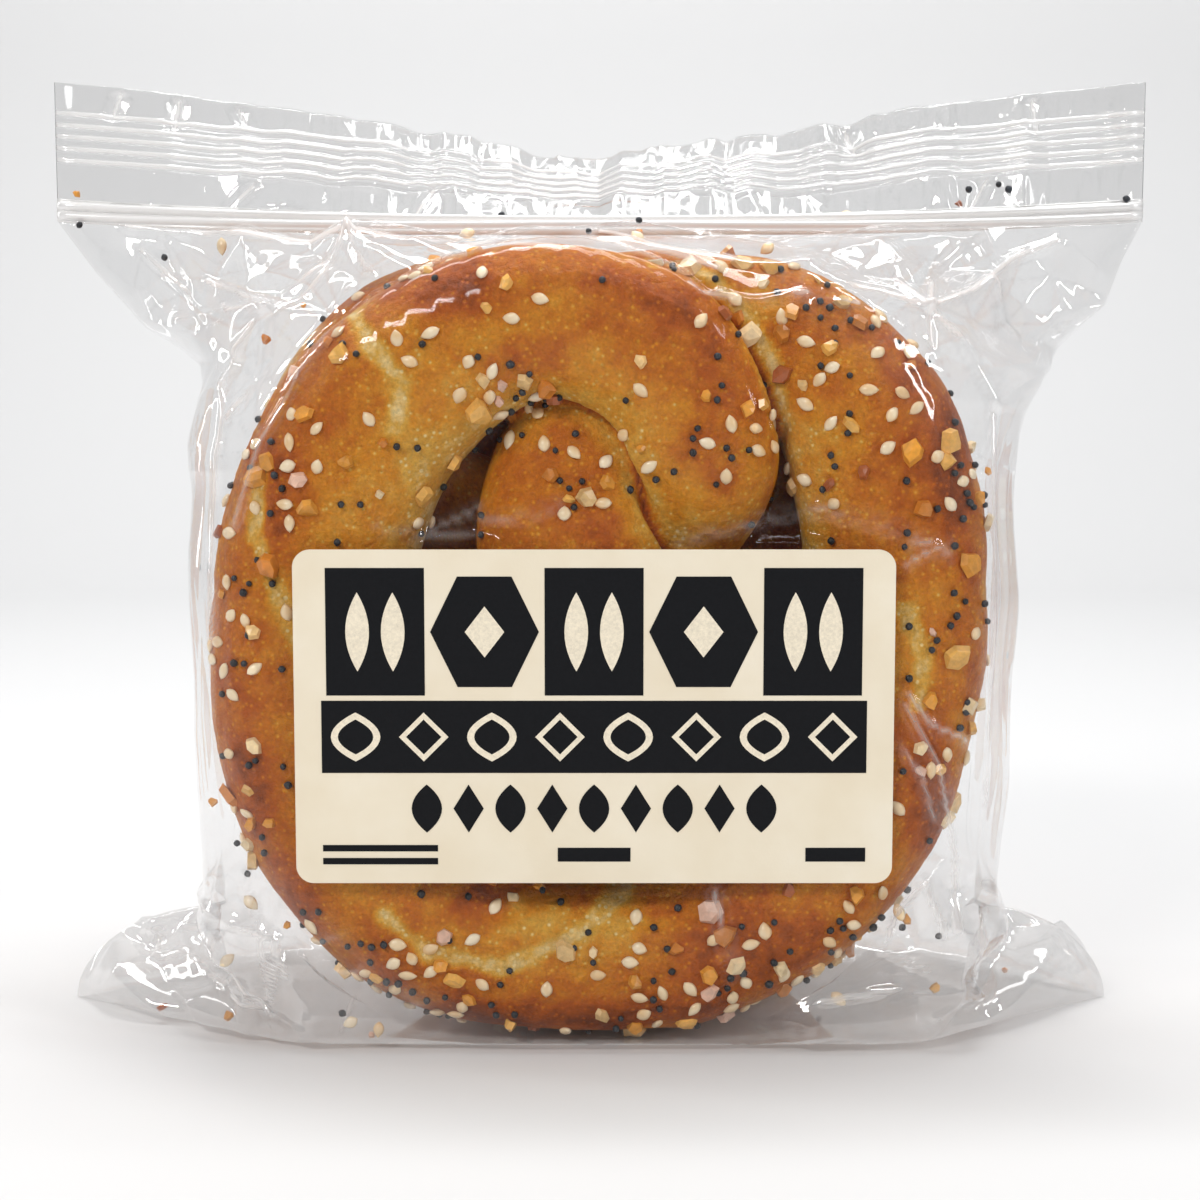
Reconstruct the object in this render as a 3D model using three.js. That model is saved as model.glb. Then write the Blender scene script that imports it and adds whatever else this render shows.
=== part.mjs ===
// Soft pretzels in a clear zip bag, standing upright, with a paper label on the front.
// Millimetres. +Z is up, +X is to the right of someone who reads the label, and the label faces -Y.
// The origin is on the floor, under the middle of the pack.

import * as THREE from 'three';

// ---- Driving dimensions ----

// One pretzel, and the stack of them that fills the bag from front to back
const PRETZEL_PITCH = 23;          // from one pretzel's middle to the next
const STRAND_HALF_DEPTH = 11.2;    // half of a strand's thickness, front to back
const TWIST_BULGE = 1.8;           // how much thicker a pretzel is where its strands cross

// The bag round the stack
const FRONT_DEPTH = PRETZEL_PITCH + STRAND_HALF_DEPTH + TWIST_BULGE;   // film in front of the stack
const SHOULDER_Z = 100;            // above this height the film closes towards the zip
const SIDE_CORNER_POWER = 7;       // how square the stack's corners are, seen from above
const BASE_ROUND = 6;              // radius of the bottom edge
const PRESS_DEPTH = 3.5;           // how far the film sinks between the strands
const PRESS_START = [2, 14];       // heights between which that sets in
const PRESS_END = [118, 136];      // heights between which it ends
const PRESS_SIDES = [50, 64];      // distances from the middle between which it ends
const TOP_FULLNESS = 2.2;          // how much fuller the closing film is over the stack's middle
const FLARE_START = 0.3;           // share of the way up at which the closing film starts to widen

// The header above the stack
const HEADER_HALF_WIDTH = 97.5;    // half of the flat bag's width
const ZIP_END_Z = 145;             // height of the zip at the bag's sides
const ZIP_SAG = 2.7;               // how much lower it is in the middle
const ZIP_SAG_POWER = 2.4;         // how flat that sag is
const HEADER_HEIGHT = 22.6;        // from the zip to the open edge
const HEADER_LEAN = 56 * Math.PI / 180;   // how far the header's middle leans back
const HEADER_BEND_RADIUS = 14;     // the bend in the middle of the leaning header
const HEADER_HALF_THICKNESS = 0.7;
const ZIP_HALF_THICKNESS = 1.5;
const ZIP_HALF_HEIGHT = 2;
const ZIP_EASE = 1;                // height over which the zip thins to the header
const GRIP_RIB_HEIGHTS = [9.0, 11.1, 13.2, 15.2, 17.3];   // above the zip
const GRIP_RIB_RISE = 0.45;

// The corners of the lay-flat bag, which stand out at the floor on both sides
const EAR_REACH_LEFT = 97.5;
const EAR_REACH_RIGHT = 94;
const EAR_HEIGHT = 17.5;
const EAR_FOOT_AT_RIDGE = 2.5;     // how far round the side an ear's foot reaches at its ridge
const EAR_FOOT_POWER = 1.3;        // how slowly the foot draws in on its way up
const EAR_FADE_Z = 32;             // height where the side is free of the ears again

// The label
const LABEL_WIDTH = 101.6;
const LABEL_HEIGHT = 57.2;
const LABEL_CORNER_RADIUS = 3;
const LABEL_THICKNESS = 0.35;
const LABEL_GAP = 0.3;
const LABEL_CENTRE_X = -1;
const LABEL_CENTRE_Z = 58.8;

const BACK_DEPTH = FRONT_DEPTH + LABEL_GAP + LABEL_THICKNESS;   // keeps the origin in the middle

// Half of the bag's width at heights below the shoulder
const SIDE_PROFILE = [
  { z: 0, halfWidth: 65 },
  { z: 18, halfWidth: 69.5 },
  { z: 46, halfWidth: 71.5 },
  { z: 75, halfWidth: 72.5 },
  { z: SHOULDER_Z, halfWidth: 71.5 },
];
const SHOULDER_HALF_WIDTH = SIDE_PROFILE.at(-1).halfWidth;

// Centre lines of the front pretzel's two arms, as (x, z, half of the strand's width), from the
// middle of the belly at the bottom, round a lobe, across the twist and back to the belly.
const LEFT_ARM = [
  [0, 14.5, 14], [-18, 16, 14.3], [-34.5, 23, 15.4], [-46, 38, 15.7], [-51.5, 56, 15.7],
  [-51, 74, 16.4], [-47.5, 91, 17.1], [-39.5, 107.5, 16.6], [-25.5, 120, 14.7], [-8.5, 125.5, 13.3],
  [7, 121.5, 14], [17, 112.5, 14.3], [21, 101, 12.6], [16, 89.5, 11.2], [5, 77.5, 10.8],
  [-5, 63, 10.8], [-13, 47.5, 10.8], [-18.5, 33, 10.5], [-21, 23, 8.7],
];
const RIGHT_ARM = [
  [0, 14.5, 14], [17.5, 17.5, 14.3], [33.5, 26.5, 15], [45, 42, 15.4], [50, 59.5, 15.7],
  [51, 77.5, 16.1], [50, 94.5, 16.1], [45, 109.5, 14.7], [34.5, 120.5, 12.9], [20.5, 124, 12.6],
  [7, 114.5, 14], [-1.5, 102, 15.7], [-4, 87.5, 17.1], [0, 74, 14.3], [8.5, 59.5, 11.9],
  [17.5, 45.5, 11.2], [24, 33, 10.5], [25.5, 24, 8.7],
];

// How finely the bag is divided
const HALF_RING = 42;              // steps from one side seam to the other
const EAR_STEPS = 8;               // of them, in each ear
const BODY_LEVELS = [0, 1.5, 3.5, 6.5, 10, 13.5, 16.5, 19, 24, 29, 34, 39, 44.5, 50, 55.5, 61,
  66.5, 72, 77, 82, 87, 91.5, 96, SHOULDER_Z];
const CLOSING_STEPS = 11;
const OUTLINE_SAMPLES = 240;
const ARM_SAMPLES = 120;

// ---- Helpers ----

const mix = (a, b, share) => a + (b - a) * share;
const clamp01 = (value) => Math.min(1, Math.max(0, value));

function smoothStep(low, high, value) {
  const share = clamp01((value - low) / (high - low));
  return share * share * (3 - 2 * share);
}

// A value on the side profile at a height, with eased steps between its stations.
function sideHalfWidth(z) {
  let width = SIDE_PROFILE[0].halfWidth;
  for (let i = 1; i < SIDE_PROFILE.length; i += 1) {
    const below = SIDE_PROFILE[i - 1];
    const above = SIDE_PROFILE[i];
    if (z > below.z) width = mix(below.halfWidth, above.halfWidth, smoothStep(below.z, above.z, z));
  }
  return width;
}

// ---- The pretzel under the film ----

function armSamples(stations) {
  const points = stations.map(([x, z, halfWidth]) => new THREE.Vector3(x, z, halfWidth));
  return new THREE.CatmullRomCurve3(points, false, 'catmullrom', 0.5).getPoints(ARM_SAMPLES);
}

const STRAND_SAMPLES = [...armSamples(LEFT_ARM), ...armSamples(RIGHT_ARM)];

// How far the front of a pretzel stands from its middle plane at (x, z): the highest of the
// strands' rounded backs, and zero where there is a hole or no dough.
function pretzelFront(x, z) {
  let front = 0;
  for (const { x: cx, y: cz, z: halfWidth } of STRAND_SAMPLES) {
    const across = Math.hypot(x - cx, z - cz) / halfWidth;
    if (across < 1) front = Math.max(front, STRAND_HALF_DEPTH * Math.sqrt(1 - across * across));
  }
  return front;
}

// The film sinks a little between the strands, and fades to its own shape away from the stack.
function pressIn(x, z) {
  const hollow = 1 - pretzelFront(x, z) / STRAND_HALF_DEPTH;
  const nearStack = smoothStep(...PRESS_START, z) * (1 - smoothStep(...PRESS_END, z));
  const inFace = 1 - smoothStep(...PRESS_SIDES, Math.abs(x));
  return PRESS_DEPTH * hollow * nearStack * inFace;
}

// ---- Rings of the bag, each from the right side seam over the front to the left and round ----

// Distances along a line of (x, depth) pairs, from its first point to each of its points.
function lengthsAlong(line) {
  const lengths = [0];
  for (let i = 1; i < line.length; i += 1) {
    lengths.push(lengths[i - 1] + Math.hypot(line[i][0] - line[i - 1][0], line[i][1] - line[i - 1][1]));
  }
  return lengths;
}

// Points at even distances along a line, between two distances from its start.
function evenlySpaced(line, from, to, steps) {
  const lengths = lengthsAlong(line);
  const points = [];
  let segment = 1;
  for (let i = 0; i <= steps; i += 1) {
    const target = mix(from, to, i / steps);
    while (segment < line.length - 1 && lengths[segment] < target) segment += 1;
    const share = (target - lengths[segment - 1]) / (lengths[segment] - lengths[segment - 1]);
    points.push([0, 1].map((axis) => mix(line[segment - 1][axis], line[segment][axis], share)));
  }
  return points;
}

// How far round the body an ear's foot reaches from the side seam: to the front corner at the
// floor, to nothing at the ear's ridge, and above it back to the ring's usual spacing.
function earFoot(z, usual) {
  if (z < EAR_HEIGHT) return mix(usual, EAR_FOOT_AT_RIDGE, (z / EAR_HEIGHT) ** EAR_FOOT_POWER);
  return mix(EAR_FOOT_AT_RIDGE, usual, smoothStep(EAR_HEIGHT, EAR_FADE_Z, z));
}

// How far an ear's tip is from the middle of the bag at a height. Its ridge is a quarter ellipse.
function earTip(z, reach, sideX) {
  return sideX + (reach - sideX) * Math.sqrt(Math.max(0, 1 - (z / EAR_HEIGHT) ** 2));
}

// One side of the body at a height, as a line of (x, depth) from the right seam to the left seam.
function bodyOutline(z, fullDepth) {
  const inset = z < BASE_ROUND ? BASE_ROUND - Math.sqrt(BASE_ROUND ** 2 - (BASE_ROUND - z) ** 2) : 0;
  const sideX = sideHalfWidth(z);
  const line = [];
  for (let i = 0; i <= OUTLINE_SAMPLES; i += 1) {
    const angle = Math.PI * i / OUTLINE_SAMPLES;
    const cos = Math.cos(angle);
    const x = sideX * Math.sign(cos) * Math.abs(cos) ** (2 / SIDE_CORNER_POWER);
    const depth = (fullDepth - inset) * Math.abs(Math.sin(angle)) ** (2 / SIDE_CORNER_POWER);
    line.push([x, i === OUTLINE_SAMPLES ? 0 : depth]);
  }
  return line;
}

// The body's outline in even steps, with a straight-sided ear at each seam near the floor.
function bodyLine(z, fullDepth) {
  const outline = bodyOutline(z, fullDepth);
  const total = lengthsAlong(outline).at(-1);
  const foot = earFoot(z, total * EAR_STEPS / HALF_RING);
  const line = [
    ...evenlySpaced(outline, 0, foot, EAR_STEPS),
    ...evenlySpaced(outline, foot, total - foot, HALF_RING - 2 * EAR_STEPS).slice(1, -1),
    ...evenlySpaced(outline, total - foot, total, EAR_STEPS),
  ];
  if (z >= EAR_HEIGHT) return line;
  const sideX = sideHalfWidth(z);
  for (let i = 0; i < EAR_STEPS; i += 1) {
    const share = i / EAR_STEPS;
    const [right, left] = [line[EAR_STEPS], line[HALF_RING - EAR_STEPS]];
    line[i] = [mix(earTip(z, EAR_REACH_RIGHT, sideX), right[0], share), right[1] * share];
    line[HALF_RING - i] = [mix(-earTip(z, EAR_REACH_LEFT, sideX), left[0], share), left[1] * share];
  }
  return line;
}

// Joins a front line and a back line into one ring of points.
function ringFrom(frontLine, backLine, pointAt) {
  const front = frontLine.map((entry) => pointAt(entry, -1));
  const back = backLine.map((entry) => pointAt(entry, 1)).reverse();
  return [...front, ...back.slice(1, -1)];
}

// How far a point of the film is pressed on to the pretzels. The last pretzel faces back, so its
// strands are mirrored. The bag's seams, where the depth is nothing, stay where they are.
function sinkAt(x, z, side, depth) {
  return pressIn(x * -side, z) * smoothStep(0, STRAND_HALF_DEPTH, depth);
}

// A level of the body before its film is pressed on to the pretzels.
function openRing(z) {
  return ringFrom(bodyLine(z, FRONT_DEPTH), bodyLine(z, BACK_DEPTH),
    ([x, depth], side) => new THREE.Vector3(x, side * depth, z));
}

function bodyRing(z) {
  return openRing(z).map(({ x, y }) => {
    const side = y < 0 ? -1 : 1;
    return new THREE.Vector3(x, y - side * sinkAt(x, z, side, Math.abs(y)), z);
  });
}

// The zip lies across the bag in a shallow sag.
function zipHeight(x) {
  const share = 1 - Math.abs(x / HEADER_HALF_WIDTH) ** ZIP_SAG_POWER;
  return ZIP_END_Z - ZIP_SAG * share;
}

// How far the header leans back at x: most in the middle, and not at all at the side seams.
function headerLean(x) {
  const from = (out) => Math.hypot(out, HEADER_BEND_RADIUS) - HEADER_BEND_RADIUS;
  return HEADER_LEAN * (1 - from(x) / from(HEADER_HALF_WIDTH));
}

// A point of the header: so far along its width, so far above the zip, on one side of its middle.
function headerPoint(x, rise, offset) {
  const lean = headerLean(x);
  const y = rise * Math.sin(lean) + offset * Math.cos(lean);
  const z = zipHeight(x) + rise * Math.cos(lean) - offset * Math.sin(lean);
  return new THREE.Vector3(x, y, z);
}

function headerRing(rise, halfThickness) {
  const line = [];
  for (let i = 0; i <= HALF_RING; i += 1) {
    const x = HEADER_HALF_WIDTH * (1 - 2 * i / HALF_RING);
    const atSeam = i === 0 || i === HALF_RING;
    line.push([x, atSeam ? 0 : halfThickness]);
  }
  return ringFrom(line, line, ([x, depth], side) => headerPoint(x, rise, side * depth));
}

// Between the shoulder and the zip the film runs straight at the sides, and bulges over the
// pretzels' tops in the middle, on a quarter of a superellipse.
function closingRing(shoulderRing, zipRing, step) {
  const angle = Math.PI / 2 * step / CLOSING_STEPS;
  return shoulderRing.map((low, i) => {
    const high = zipRing[i];
    const middle = 1 - Math.min(1, (low.x / SHOULDER_HALF_WIDTH) ** 2);
    const power = 2 / (1 + TOP_FULLNESS * middle);
    const up = Math.sin(angle) ** power;
    const out = Math.cos(angle) ** power;
    const flare = clamp01((up - FLARE_START) / (1 - FLARE_START));
    const z = mix(low.z, high.z, up);
    const y = high.y + (low.y - high.y) * out;
    const x = mix(low.x, high.x, flare);
    const side = y < 0 ? -1 : 1;
    return new THREE.Vector3(x, y - side * out * sinkAt(x, z, side, Math.abs(low.y)), z);
  });
}

function bagRings() {
  const body = BODY_LEVELS.map(bodyRing);
  const zipRing = headerRing(-ZIP_HALF_HEIGHT, ZIP_HALF_THICKNESS);
  const shoulder = openRing(SHOULDER_Z);
  const closing = [];
  for (let step = 1; step < CLOSING_STEPS; step += 1) closing.push(closingRing(shoulder, zipRing, step));
  const header = [
    zipRing,
    headerRing(0, ZIP_HALF_THICKNESS),
    headerRing(ZIP_HALF_HEIGHT, ZIP_HALF_THICKNESS),
    headerRing(ZIP_HALF_HEIGHT + ZIP_EASE, HEADER_HALF_THICKNESS),
  ];
  const halfPitch = (GRIP_RIB_HEIGHTS[1] - GRIP_RIB_HEIGHTS[0]) / 2;
  for (const rise of GRIP_RIB_HEIGHTS) {
    header.push(headerRing(rise - halfPitch, HEADER_HALF_THICKNESS));
    header.push(headerRing(rise, HEADER_HALF_THICKNESS + GRIP_RIB_RISE));
  }
  header.push(headerRing(GRIP_RIB_HEIGHTS.at(-1) + halfPitch, HEADER_HALF_THICKNESS));
  header.push(headerRing(HEADER_HEIGHT, HEADER_HALF_THICKNESS));
  return [...body, ...closing, ...header];
}

// ---- Solids ----

// Skins a stack of rings, and closes the lowest and the highest by strips from front to back.
function loftedSolid(rings) {
  const count = rings[0].length;
  const half = count / 2;
  const positions = rings.flatMap((ring) => ring.flatMap((point) => point.toArray()));
  const triangles = [];
  for (let level = 0; level < rings.length - 1; level += 1) {
    for (let i = 0; i < count; i += 1) {
      const next = (i + 1) % count;
      const [a, b] = [level * count + i, level * count + next];
      const [c, d] = [a + count, b + count];
      triangles.push(a, d, b, a, c, d);
    }
  }
  const closeRing = (base, upwards) => {
    const quad = (a, b, c, d) => (upwards ? triangles.push(a, c, b, a, d, c) : triangles.push(a, b, c, a, c, d));
    for (let i = 1; i < half - 1; i += 1) {
      quad(base + i, base + i + 1, base + count - i - 1, base + count - i);
    }
    const ends = [[0, 1, count - 1], [half, half + 1, half - 1]];
    for (const [tip, a, b] of ends) {
      triangles.push(...(upwards ? [base + tip, base + b, base + a] : [base + tip, base + a, base + b]));
    }
  };
  closeRing(0, false);
  closeRing((rings.length - 1) * count, true);
  const geometry = new THREE.BufferGeometry();
  geometry.setAttribute('position', new THREE.Float32BufferAttribute(positions, 3));
  geometry.setIndex(triangles);
  geometry.computeVertexNormals();
  return geometry;
}

function roundedRectangle(width, height, radius) {
  const [x, y] = [width / 2, height / 2];
  const shape = new THREE.Shape();
  shape.moveTo(-x + radius, -y);
  shape.lineTo(x - radius, -y);
  shape.absarc(x - radius, -y + radius, radius, -Math.PI / 2, 0, false);
  shape.lineTo(x, y - radius);
  shape.absarc(x - radius, y - radius, radius, 0, Math.PI / 2, false);
  shape.lineTo(-x + radius, y);
  shape.absarc(-x + radius, y - radius, radius, Math.PI / 2, Math.PI, false);
  shape.lineTo(-x, -y + radius);
  shape.absarc(-x + radius, -y + radius, radius, Math.PI, 1.5 * Math.PI, false);
  return shape;
}

function makeBag() {
  const material = new THREE.MeshStandardMaterial({ color: 0xc98a45, roughness: 0.15, metalness: 0 });
  const bag = new THREE.Mesh(loftedSolid(bagRings()), material);
  bag.name = 'bag';
  return bag;
}

function makeLabel() {
  const shape = roundedRectangle(LABEL_WIDTH, LABEL_HEIGHT, LABEL_CORNER_RADIUS);
  const geometry = new THREE.ExtrudeGeometry(shape, {
    depth: LABEL_THICKNESS, bevelEnabled: false, curveSegments: 8,
  });
  const material = new THREE.MeshStandardMaterial({ color: 0xebdec4, roughness: 0.6, metalness: 0 });
  const label = new THREE.Mesh(geometry, material);
  label.name = 'label';
  label.rotation.x = Math.PI / 2;      // the sheet stands up, with its face towards -Y
  label.position.set(LABEL_CENTRE_X, -(FRONT_DEPTH + LABEL_GAP), LABEL_CENTRE_Z);
  return label;
}

const pack = new THREE.Group();
pack.add(makeBag(), makeLabel());

export default pack;
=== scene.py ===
"""Three soft pretzels in a clear zip bag with a paper label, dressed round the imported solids."""

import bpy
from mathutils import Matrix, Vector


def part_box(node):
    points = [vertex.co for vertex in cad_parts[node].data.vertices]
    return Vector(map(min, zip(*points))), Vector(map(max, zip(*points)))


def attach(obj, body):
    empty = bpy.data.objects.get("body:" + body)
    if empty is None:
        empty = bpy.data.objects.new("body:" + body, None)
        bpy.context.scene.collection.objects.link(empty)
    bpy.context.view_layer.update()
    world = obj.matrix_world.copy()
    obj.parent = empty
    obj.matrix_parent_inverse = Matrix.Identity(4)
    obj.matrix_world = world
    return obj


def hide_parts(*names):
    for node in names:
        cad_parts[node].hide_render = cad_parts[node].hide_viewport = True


bl_info = {
    "name": "Bagged Soft Pretzels",
    "version": (1, 0, 0),
    "blender": (4, 5, 0),
    "location": "3D View > Sidebar > Pretzels",
    "description": "Builds the pretzels, their toppings, the clear zip bag, its label and a studio",
    "category": "Add Mesh",
}

import bpy
import numpy as np
from mathutils import Vector
from mathutils.geometry import delaunay_2d_cdt

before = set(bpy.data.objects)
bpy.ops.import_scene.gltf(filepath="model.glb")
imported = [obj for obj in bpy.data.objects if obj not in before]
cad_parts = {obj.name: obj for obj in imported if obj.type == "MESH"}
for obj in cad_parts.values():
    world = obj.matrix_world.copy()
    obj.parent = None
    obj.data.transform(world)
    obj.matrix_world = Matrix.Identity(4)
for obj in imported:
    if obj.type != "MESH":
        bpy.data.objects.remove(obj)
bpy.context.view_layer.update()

# Lengths are in millimetres and become metres where a mesh is filled. X is right, Z is up, and the
# label faces -Y.
MM = 0.001
BODY = "root"

# ---- The photograph's camera, worked out from the label's size and the board's edges ----

PHOTO_SIDE = 1200
FOCAL_PIXELS = 2520.0
HORIZON_ROW = 296
CAMERA_Y = -457.96
CAMERA_Z = 129.7
SENSOR_WIDTH = 36.0
PITCH = np.arctan((PHOTO_SIDE / 2 - HORIZON_ROW) / FOCAL_PIXELS)
PIXEL_MM = 0.169  # side of a pixel at the front pretzel
FRONT_FACE_Y = -31.0  # the front pretzel's face

# ---- The pretzels, as in the part's source ----

PRETZEL_PITCH = 23.0
STRAND_HALF_DEPTH = 11.2
TWIST_BULGE = 1.8
FRONT_DEPTH = PRETZEL_PITCH + STRAND_HALF_DEPTH + TWIST_BULGE
BACK_DEPTH = FRONT_DEPTH + 0.65
SECTION_POWER = 2.3  # how full a strand's section is, 2 being an ellipse
OUTER_LIMIT = 12.6  # how far dough stands from its pretzel's middle, under the film
INNER_LIMIT = 11.3  # and against the next pretzel

# Stations of a strand's centre line: x, z, half width, how far back its middle is, half thickness
LEFT_ARM = np.array([
    [0, 14.5, 14, 0, 11.2], [-18, 16, 14.3, 0, 11.2], [-34.5, 23, 15.4, 0, 11.2],
    [-46, 38, 15.7, 0, 11.2], [-51.5, 56, 15.7, 0, 11.2], [-51, 74, 16.4, 0, 11.2],
    [-47.5, 91, 17.1, 0, 11.2], [-39.5, 107.5, 16.6, -0.5, 11.2], [-25.5, 120, 14.7, -1.5, 10.8],
    [-8.5, 125.5, 13.3, -3, 10], [6, 121.5, 14, -4.2, 9], [14.5, 112.5, 14, -4.2, 8.8],
    [16.8, 101, 13.4, -3, 8.8], [12.5, 89.5, 12, 2.4, 8.6], [4, 77.5, 10.8, 4.2, 8.4],
    [-5, 63, 10.8, 2, 8.4], [-13, 47.5, 10.8, -1, 8.2], [-18, 37, 10.5, -2, 7.8],
    [-20, 30, 8.7, -2, 7],
])
RIGHT_ARM = np.array([
    [0, 14.5, 14, 0, 11.2], [17.5, 17.5, 14.3, 0, 11.2], [33.5, 26.5, 15, 0, 11.2],
    [45, 42, 15.4, 0, 11.2], [50, 59.5, 15.7, 0, 11.2], [51, 77.5, 16.1, 0, 11.2],
    [50, 94.5, 16.1, 0, 11.2], [45, 109.5, 14.7, 0.5, 11], [34.5, 120.5, 12.9, 2.5, 10],
    [20.5, 124, 12.6, 4.2, 8.8], [7, 114.5, 14, 4.2, 8.8], [-1.5, 102, 15.7, 2.4, 9.5],
    [-4, 87.5, 17.1, -2.2, 9.6], [0, 74, 14.3, -3.8, 9], [8.5, 59.5, 11.9, -3.5, 8.6],
    [17.5, 45.5, 11.2, -3, 8.2], [22, 37, 10.5, -2.5, 7.8], [24, 31, 8.7, -2, 7],
])
ROPE = np.vstack([LEFT_ARM[::-1], RIGHT_ARM[1:]])
ROPE_STEPS = 420
SECTION_STEPS = 36
END_ROUNDING = 9.0  # length of a strand's rounded tip
OTHER_STRAND = 45.0  # dough this far along the rope counts as another strand

# Name, distance of its middle from the bag's middle, which way its top faces, how far it is turned
# round its own middle, seed, voxel size
PRETZELS = [
    ("pretzel_front", -PRETZEL_PITCH, -1, 0.0, 11, 0.8),
    ("pretzel_middle", 0.0, -1, 82.0, 23, 1.2),
    ("pretzel_back", PRETZEL_PITCH, 1, 0.0, 37, 1.05),
]
PRETZEL_MIDDLE_Z = 69.6  # the height that a turned pretzel is turned round
DOUGH_FLOOR = 0.7  # no dough lies lower, because of the film
DOUGH_REST = 1.2  # and smooth dough is pressed level here
SEAM_GROOVE = 2.0  # how deep the crease between two touching strands is
STATION_JITTER = 1.3  # how far the hidden pretzels' strands differ from the front one's

# Browned and pale patches on the front pretzel, at pixels of the photograph: column, row, half
# width, half height, how much browner
CRUST_PATCHES = [
    (450, 292, 80, 30, 0.20), (690, 300, 60, 34, 0.14), (715, 420, 40, 60, 0.20),
    (600, 505, 60, 40, 0.10), (905, 400, 46, 110, 0.12), (960, 470, 24, 120, 0.22),
    (480, 906, 46, 22, 0.30), (262, 440, 34, 44, 0.16), (232, 620, 24, 70, 0.16),
    (250, 780, 30, 80, 0.16), (935, 790, 26, 80, 0.20), (300, 900, 30, 40, 0.16),
    # the patch at column 520, row 360, on the arc's shaded underside, is browner partly as painted shade
    (560, 1015, 190, 20, 0.26), (760, 950, 90, 50, 0.18), (520, 360, 80, 26, 0.05),
    (530, 320, 60, 24, -0.10), (525, 425, 30, 26, -0.12), (822, 490, 28, 62, -0.12),
    (765, 302, 28, 24, -0.30), (430, 470, 30, 60, -0.06), (590, 893, 150, 22, 0.24),
    (860, 300, 60, 24, -0.06), (640, 500, 24, 50, -0.16),
]

# Pale stretch marks, where the crust opened as the dough rose: half width and the line they follow
STRETCH_MARKS = [
    (13, [(345, 300), (372, 345), (404, 384), (398, 424)]),
    (12, [(262, 470), (256, 535), (284, 600), (306, 660)]),
    (12, [(385, 912), (430, 948), (500, 964), (570, 934), (625, 892)]),
    (11, [(905, 610), (922, 655), (916, 700)]),
    (9, [(655, 256), (715, 276), (755, 320), (776, 370), (783, 425)]),
]

# ---- The bag, as in the part's source ----

SHOULDER_Z = 100.0
SIDE_CORNER_POWER = 7
BASE_ROUND = 6.0
PRESS_DEPTH = 3.5
TOP_FULLNESS = 2.2
FLARE_START = 0.3
LEVEL_POWER = 1.12  # rows lie closer together near the floor
HEADER_HALF_WIDTH = 97.5
ZIP_END_Z = 145.0
ZIP_SAG = 2.7
ZIP_SAG_POWER = 2.4
HEADER_HEIGHT = 22.6
HEADER_LEAN = np.radians(56)
HEADER_BEND_RADIUS = 14.0
HEADER_HALF_THICKNESS = 0.7
ZIP_HALF_THICKNESS = 1.5
GRIP_RIB_HEIGHTS = [9.0, 11.1, 13.2, 15.2, 17.3]
GRIP_RIB_RISE = 0.45
GRIP_RIB_HALF_WIDTH = 0.5
PLAIN_STRETCHES = [(0.6, 8.5), (18.2, HEADER_HEIGHT)]
HEADER_ROW = 0.5  # between the rows of film there
EAR_REACH_LEFT = 97.5
EAR_REACH_RIGHT = 94.0
EAR_HEIGHT = 17.5
EAR_FOOT_AT_RIDGE = 2.5
EAR_FADE_Z = 85.0
EAR_SHARE = 8 / 42  # of the half ring, in each ear
SIDE_STATIONS = [(0, 65), (18, 69.5), (46, 71.5), (75, 72.5), (SHOULDER_Z, 71.5)]
SHOULDER_HALF_WIDTH = SIDE_STATIONS[-1][1]

FILM_COLUMNS = 400  # film steps from one side seam to the other, on each sheet
FILM_LEVELS = 118  # from the floor to the shoulder
FILM_CLOSING_ROWS = 108  # from the shoulder to the zip
FILM_BASE_ROWS = 8  # from the bag's middle line to its front, across the floor
FILM_CLEARANCE = 1.1  # between dough and film

LABEL_MARGIN = 3.0  # film round the label that stays flat with it
LABEL_SIDE_Y = -20  # film in front of this can be behind the label
LABEL_BACKING = (0.12, 0.47)  # how far behind the label that film lies


# ---- Small helpers ----

def mix(start, end, share):
    """What lies between start and end, at a share of the way."""
    return start + (end - start) * share


def ease(low, high, value):
    """0 below low, 1 above high and an even S-curve between."""
    share = np.clip((value - low) / (high - low), 0, 1)
    return share * share * (3 - 2 * share)


def unit(vectors):
    """Vectors made one long."""
    return vectors / np.maximum(np.linalg.norm(vectors, axis=-1, keepdims=True), 1e-9)


def linear(hex_code):
    """An sRGB hex colour as linear red, green and blue."""
    channels = np.array([int(hex_code[i:i + 2], 16) for i in (1, 3, 5)]) / 255
    return tuple(np.where(channels <= 0.04045, channels / 12.92, ((channels + 0.055) / 1.055) ** 2.4))


def photo_place(pixels, y):
    """(x, z) where the sight lines through pixels of the photograph meet the upright plane at y."""
    pixels = np.asarray(pixels, dtype=float)
    slope = (PHOTO_SIDE / 2 - pixels[..., 1]) / FOCAL_PIXELS
    forward = y - CAMERA_Y
    up = forward * (slope * np.cos(PITCH) - np.sin(PITCH)) / (np.cos(PITCH) + slope * np.sin(PITCH))
    depth = forward * np.cos(PITCH) - up * np.sin(PITCH)
    x = (pixels[..., 0] - PHOTO_SIDE / 2) / FOCAL_PIXELS * depth
    return np.stack([x, CAMERA_Z + up], axis=-1)


def photo_pixels(points):
    """Where points show in the photograph, as (column, row)."""
    forward = points[..., 1] - CAMERA_Y
    up = points[..., 2] - CAMERA_Z
    depth = forward * np.cos(PITCH) - up * np.sin(PITCH)
    rise = forward * np.sin(PITCH) + up * np.cos(PITCH)
    column = PHOTO_SIDE / 2 + FOCAL_PIXELS * points[..., 0] / depth
    return np.stack([column, PHOTO_SIDE / 2 - FOCAL_PIXELS * rise / depth], axis=-1)


# ---- Random fields ----

CELL_PRIMES = np.array([73856093, 19349663, 83492791], dtype=np.uint32)
HASH_FACTORS = (np.uint32(2654435761), np.uint32(3266489917))
HALF_RANGE = 2.0 ** 31
LAYER_TURN = np.array([[0.36, 0.48, -0.80], [-0.80, 0.60, 0.0], [0.48, 0.64, 0.60]])


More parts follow.
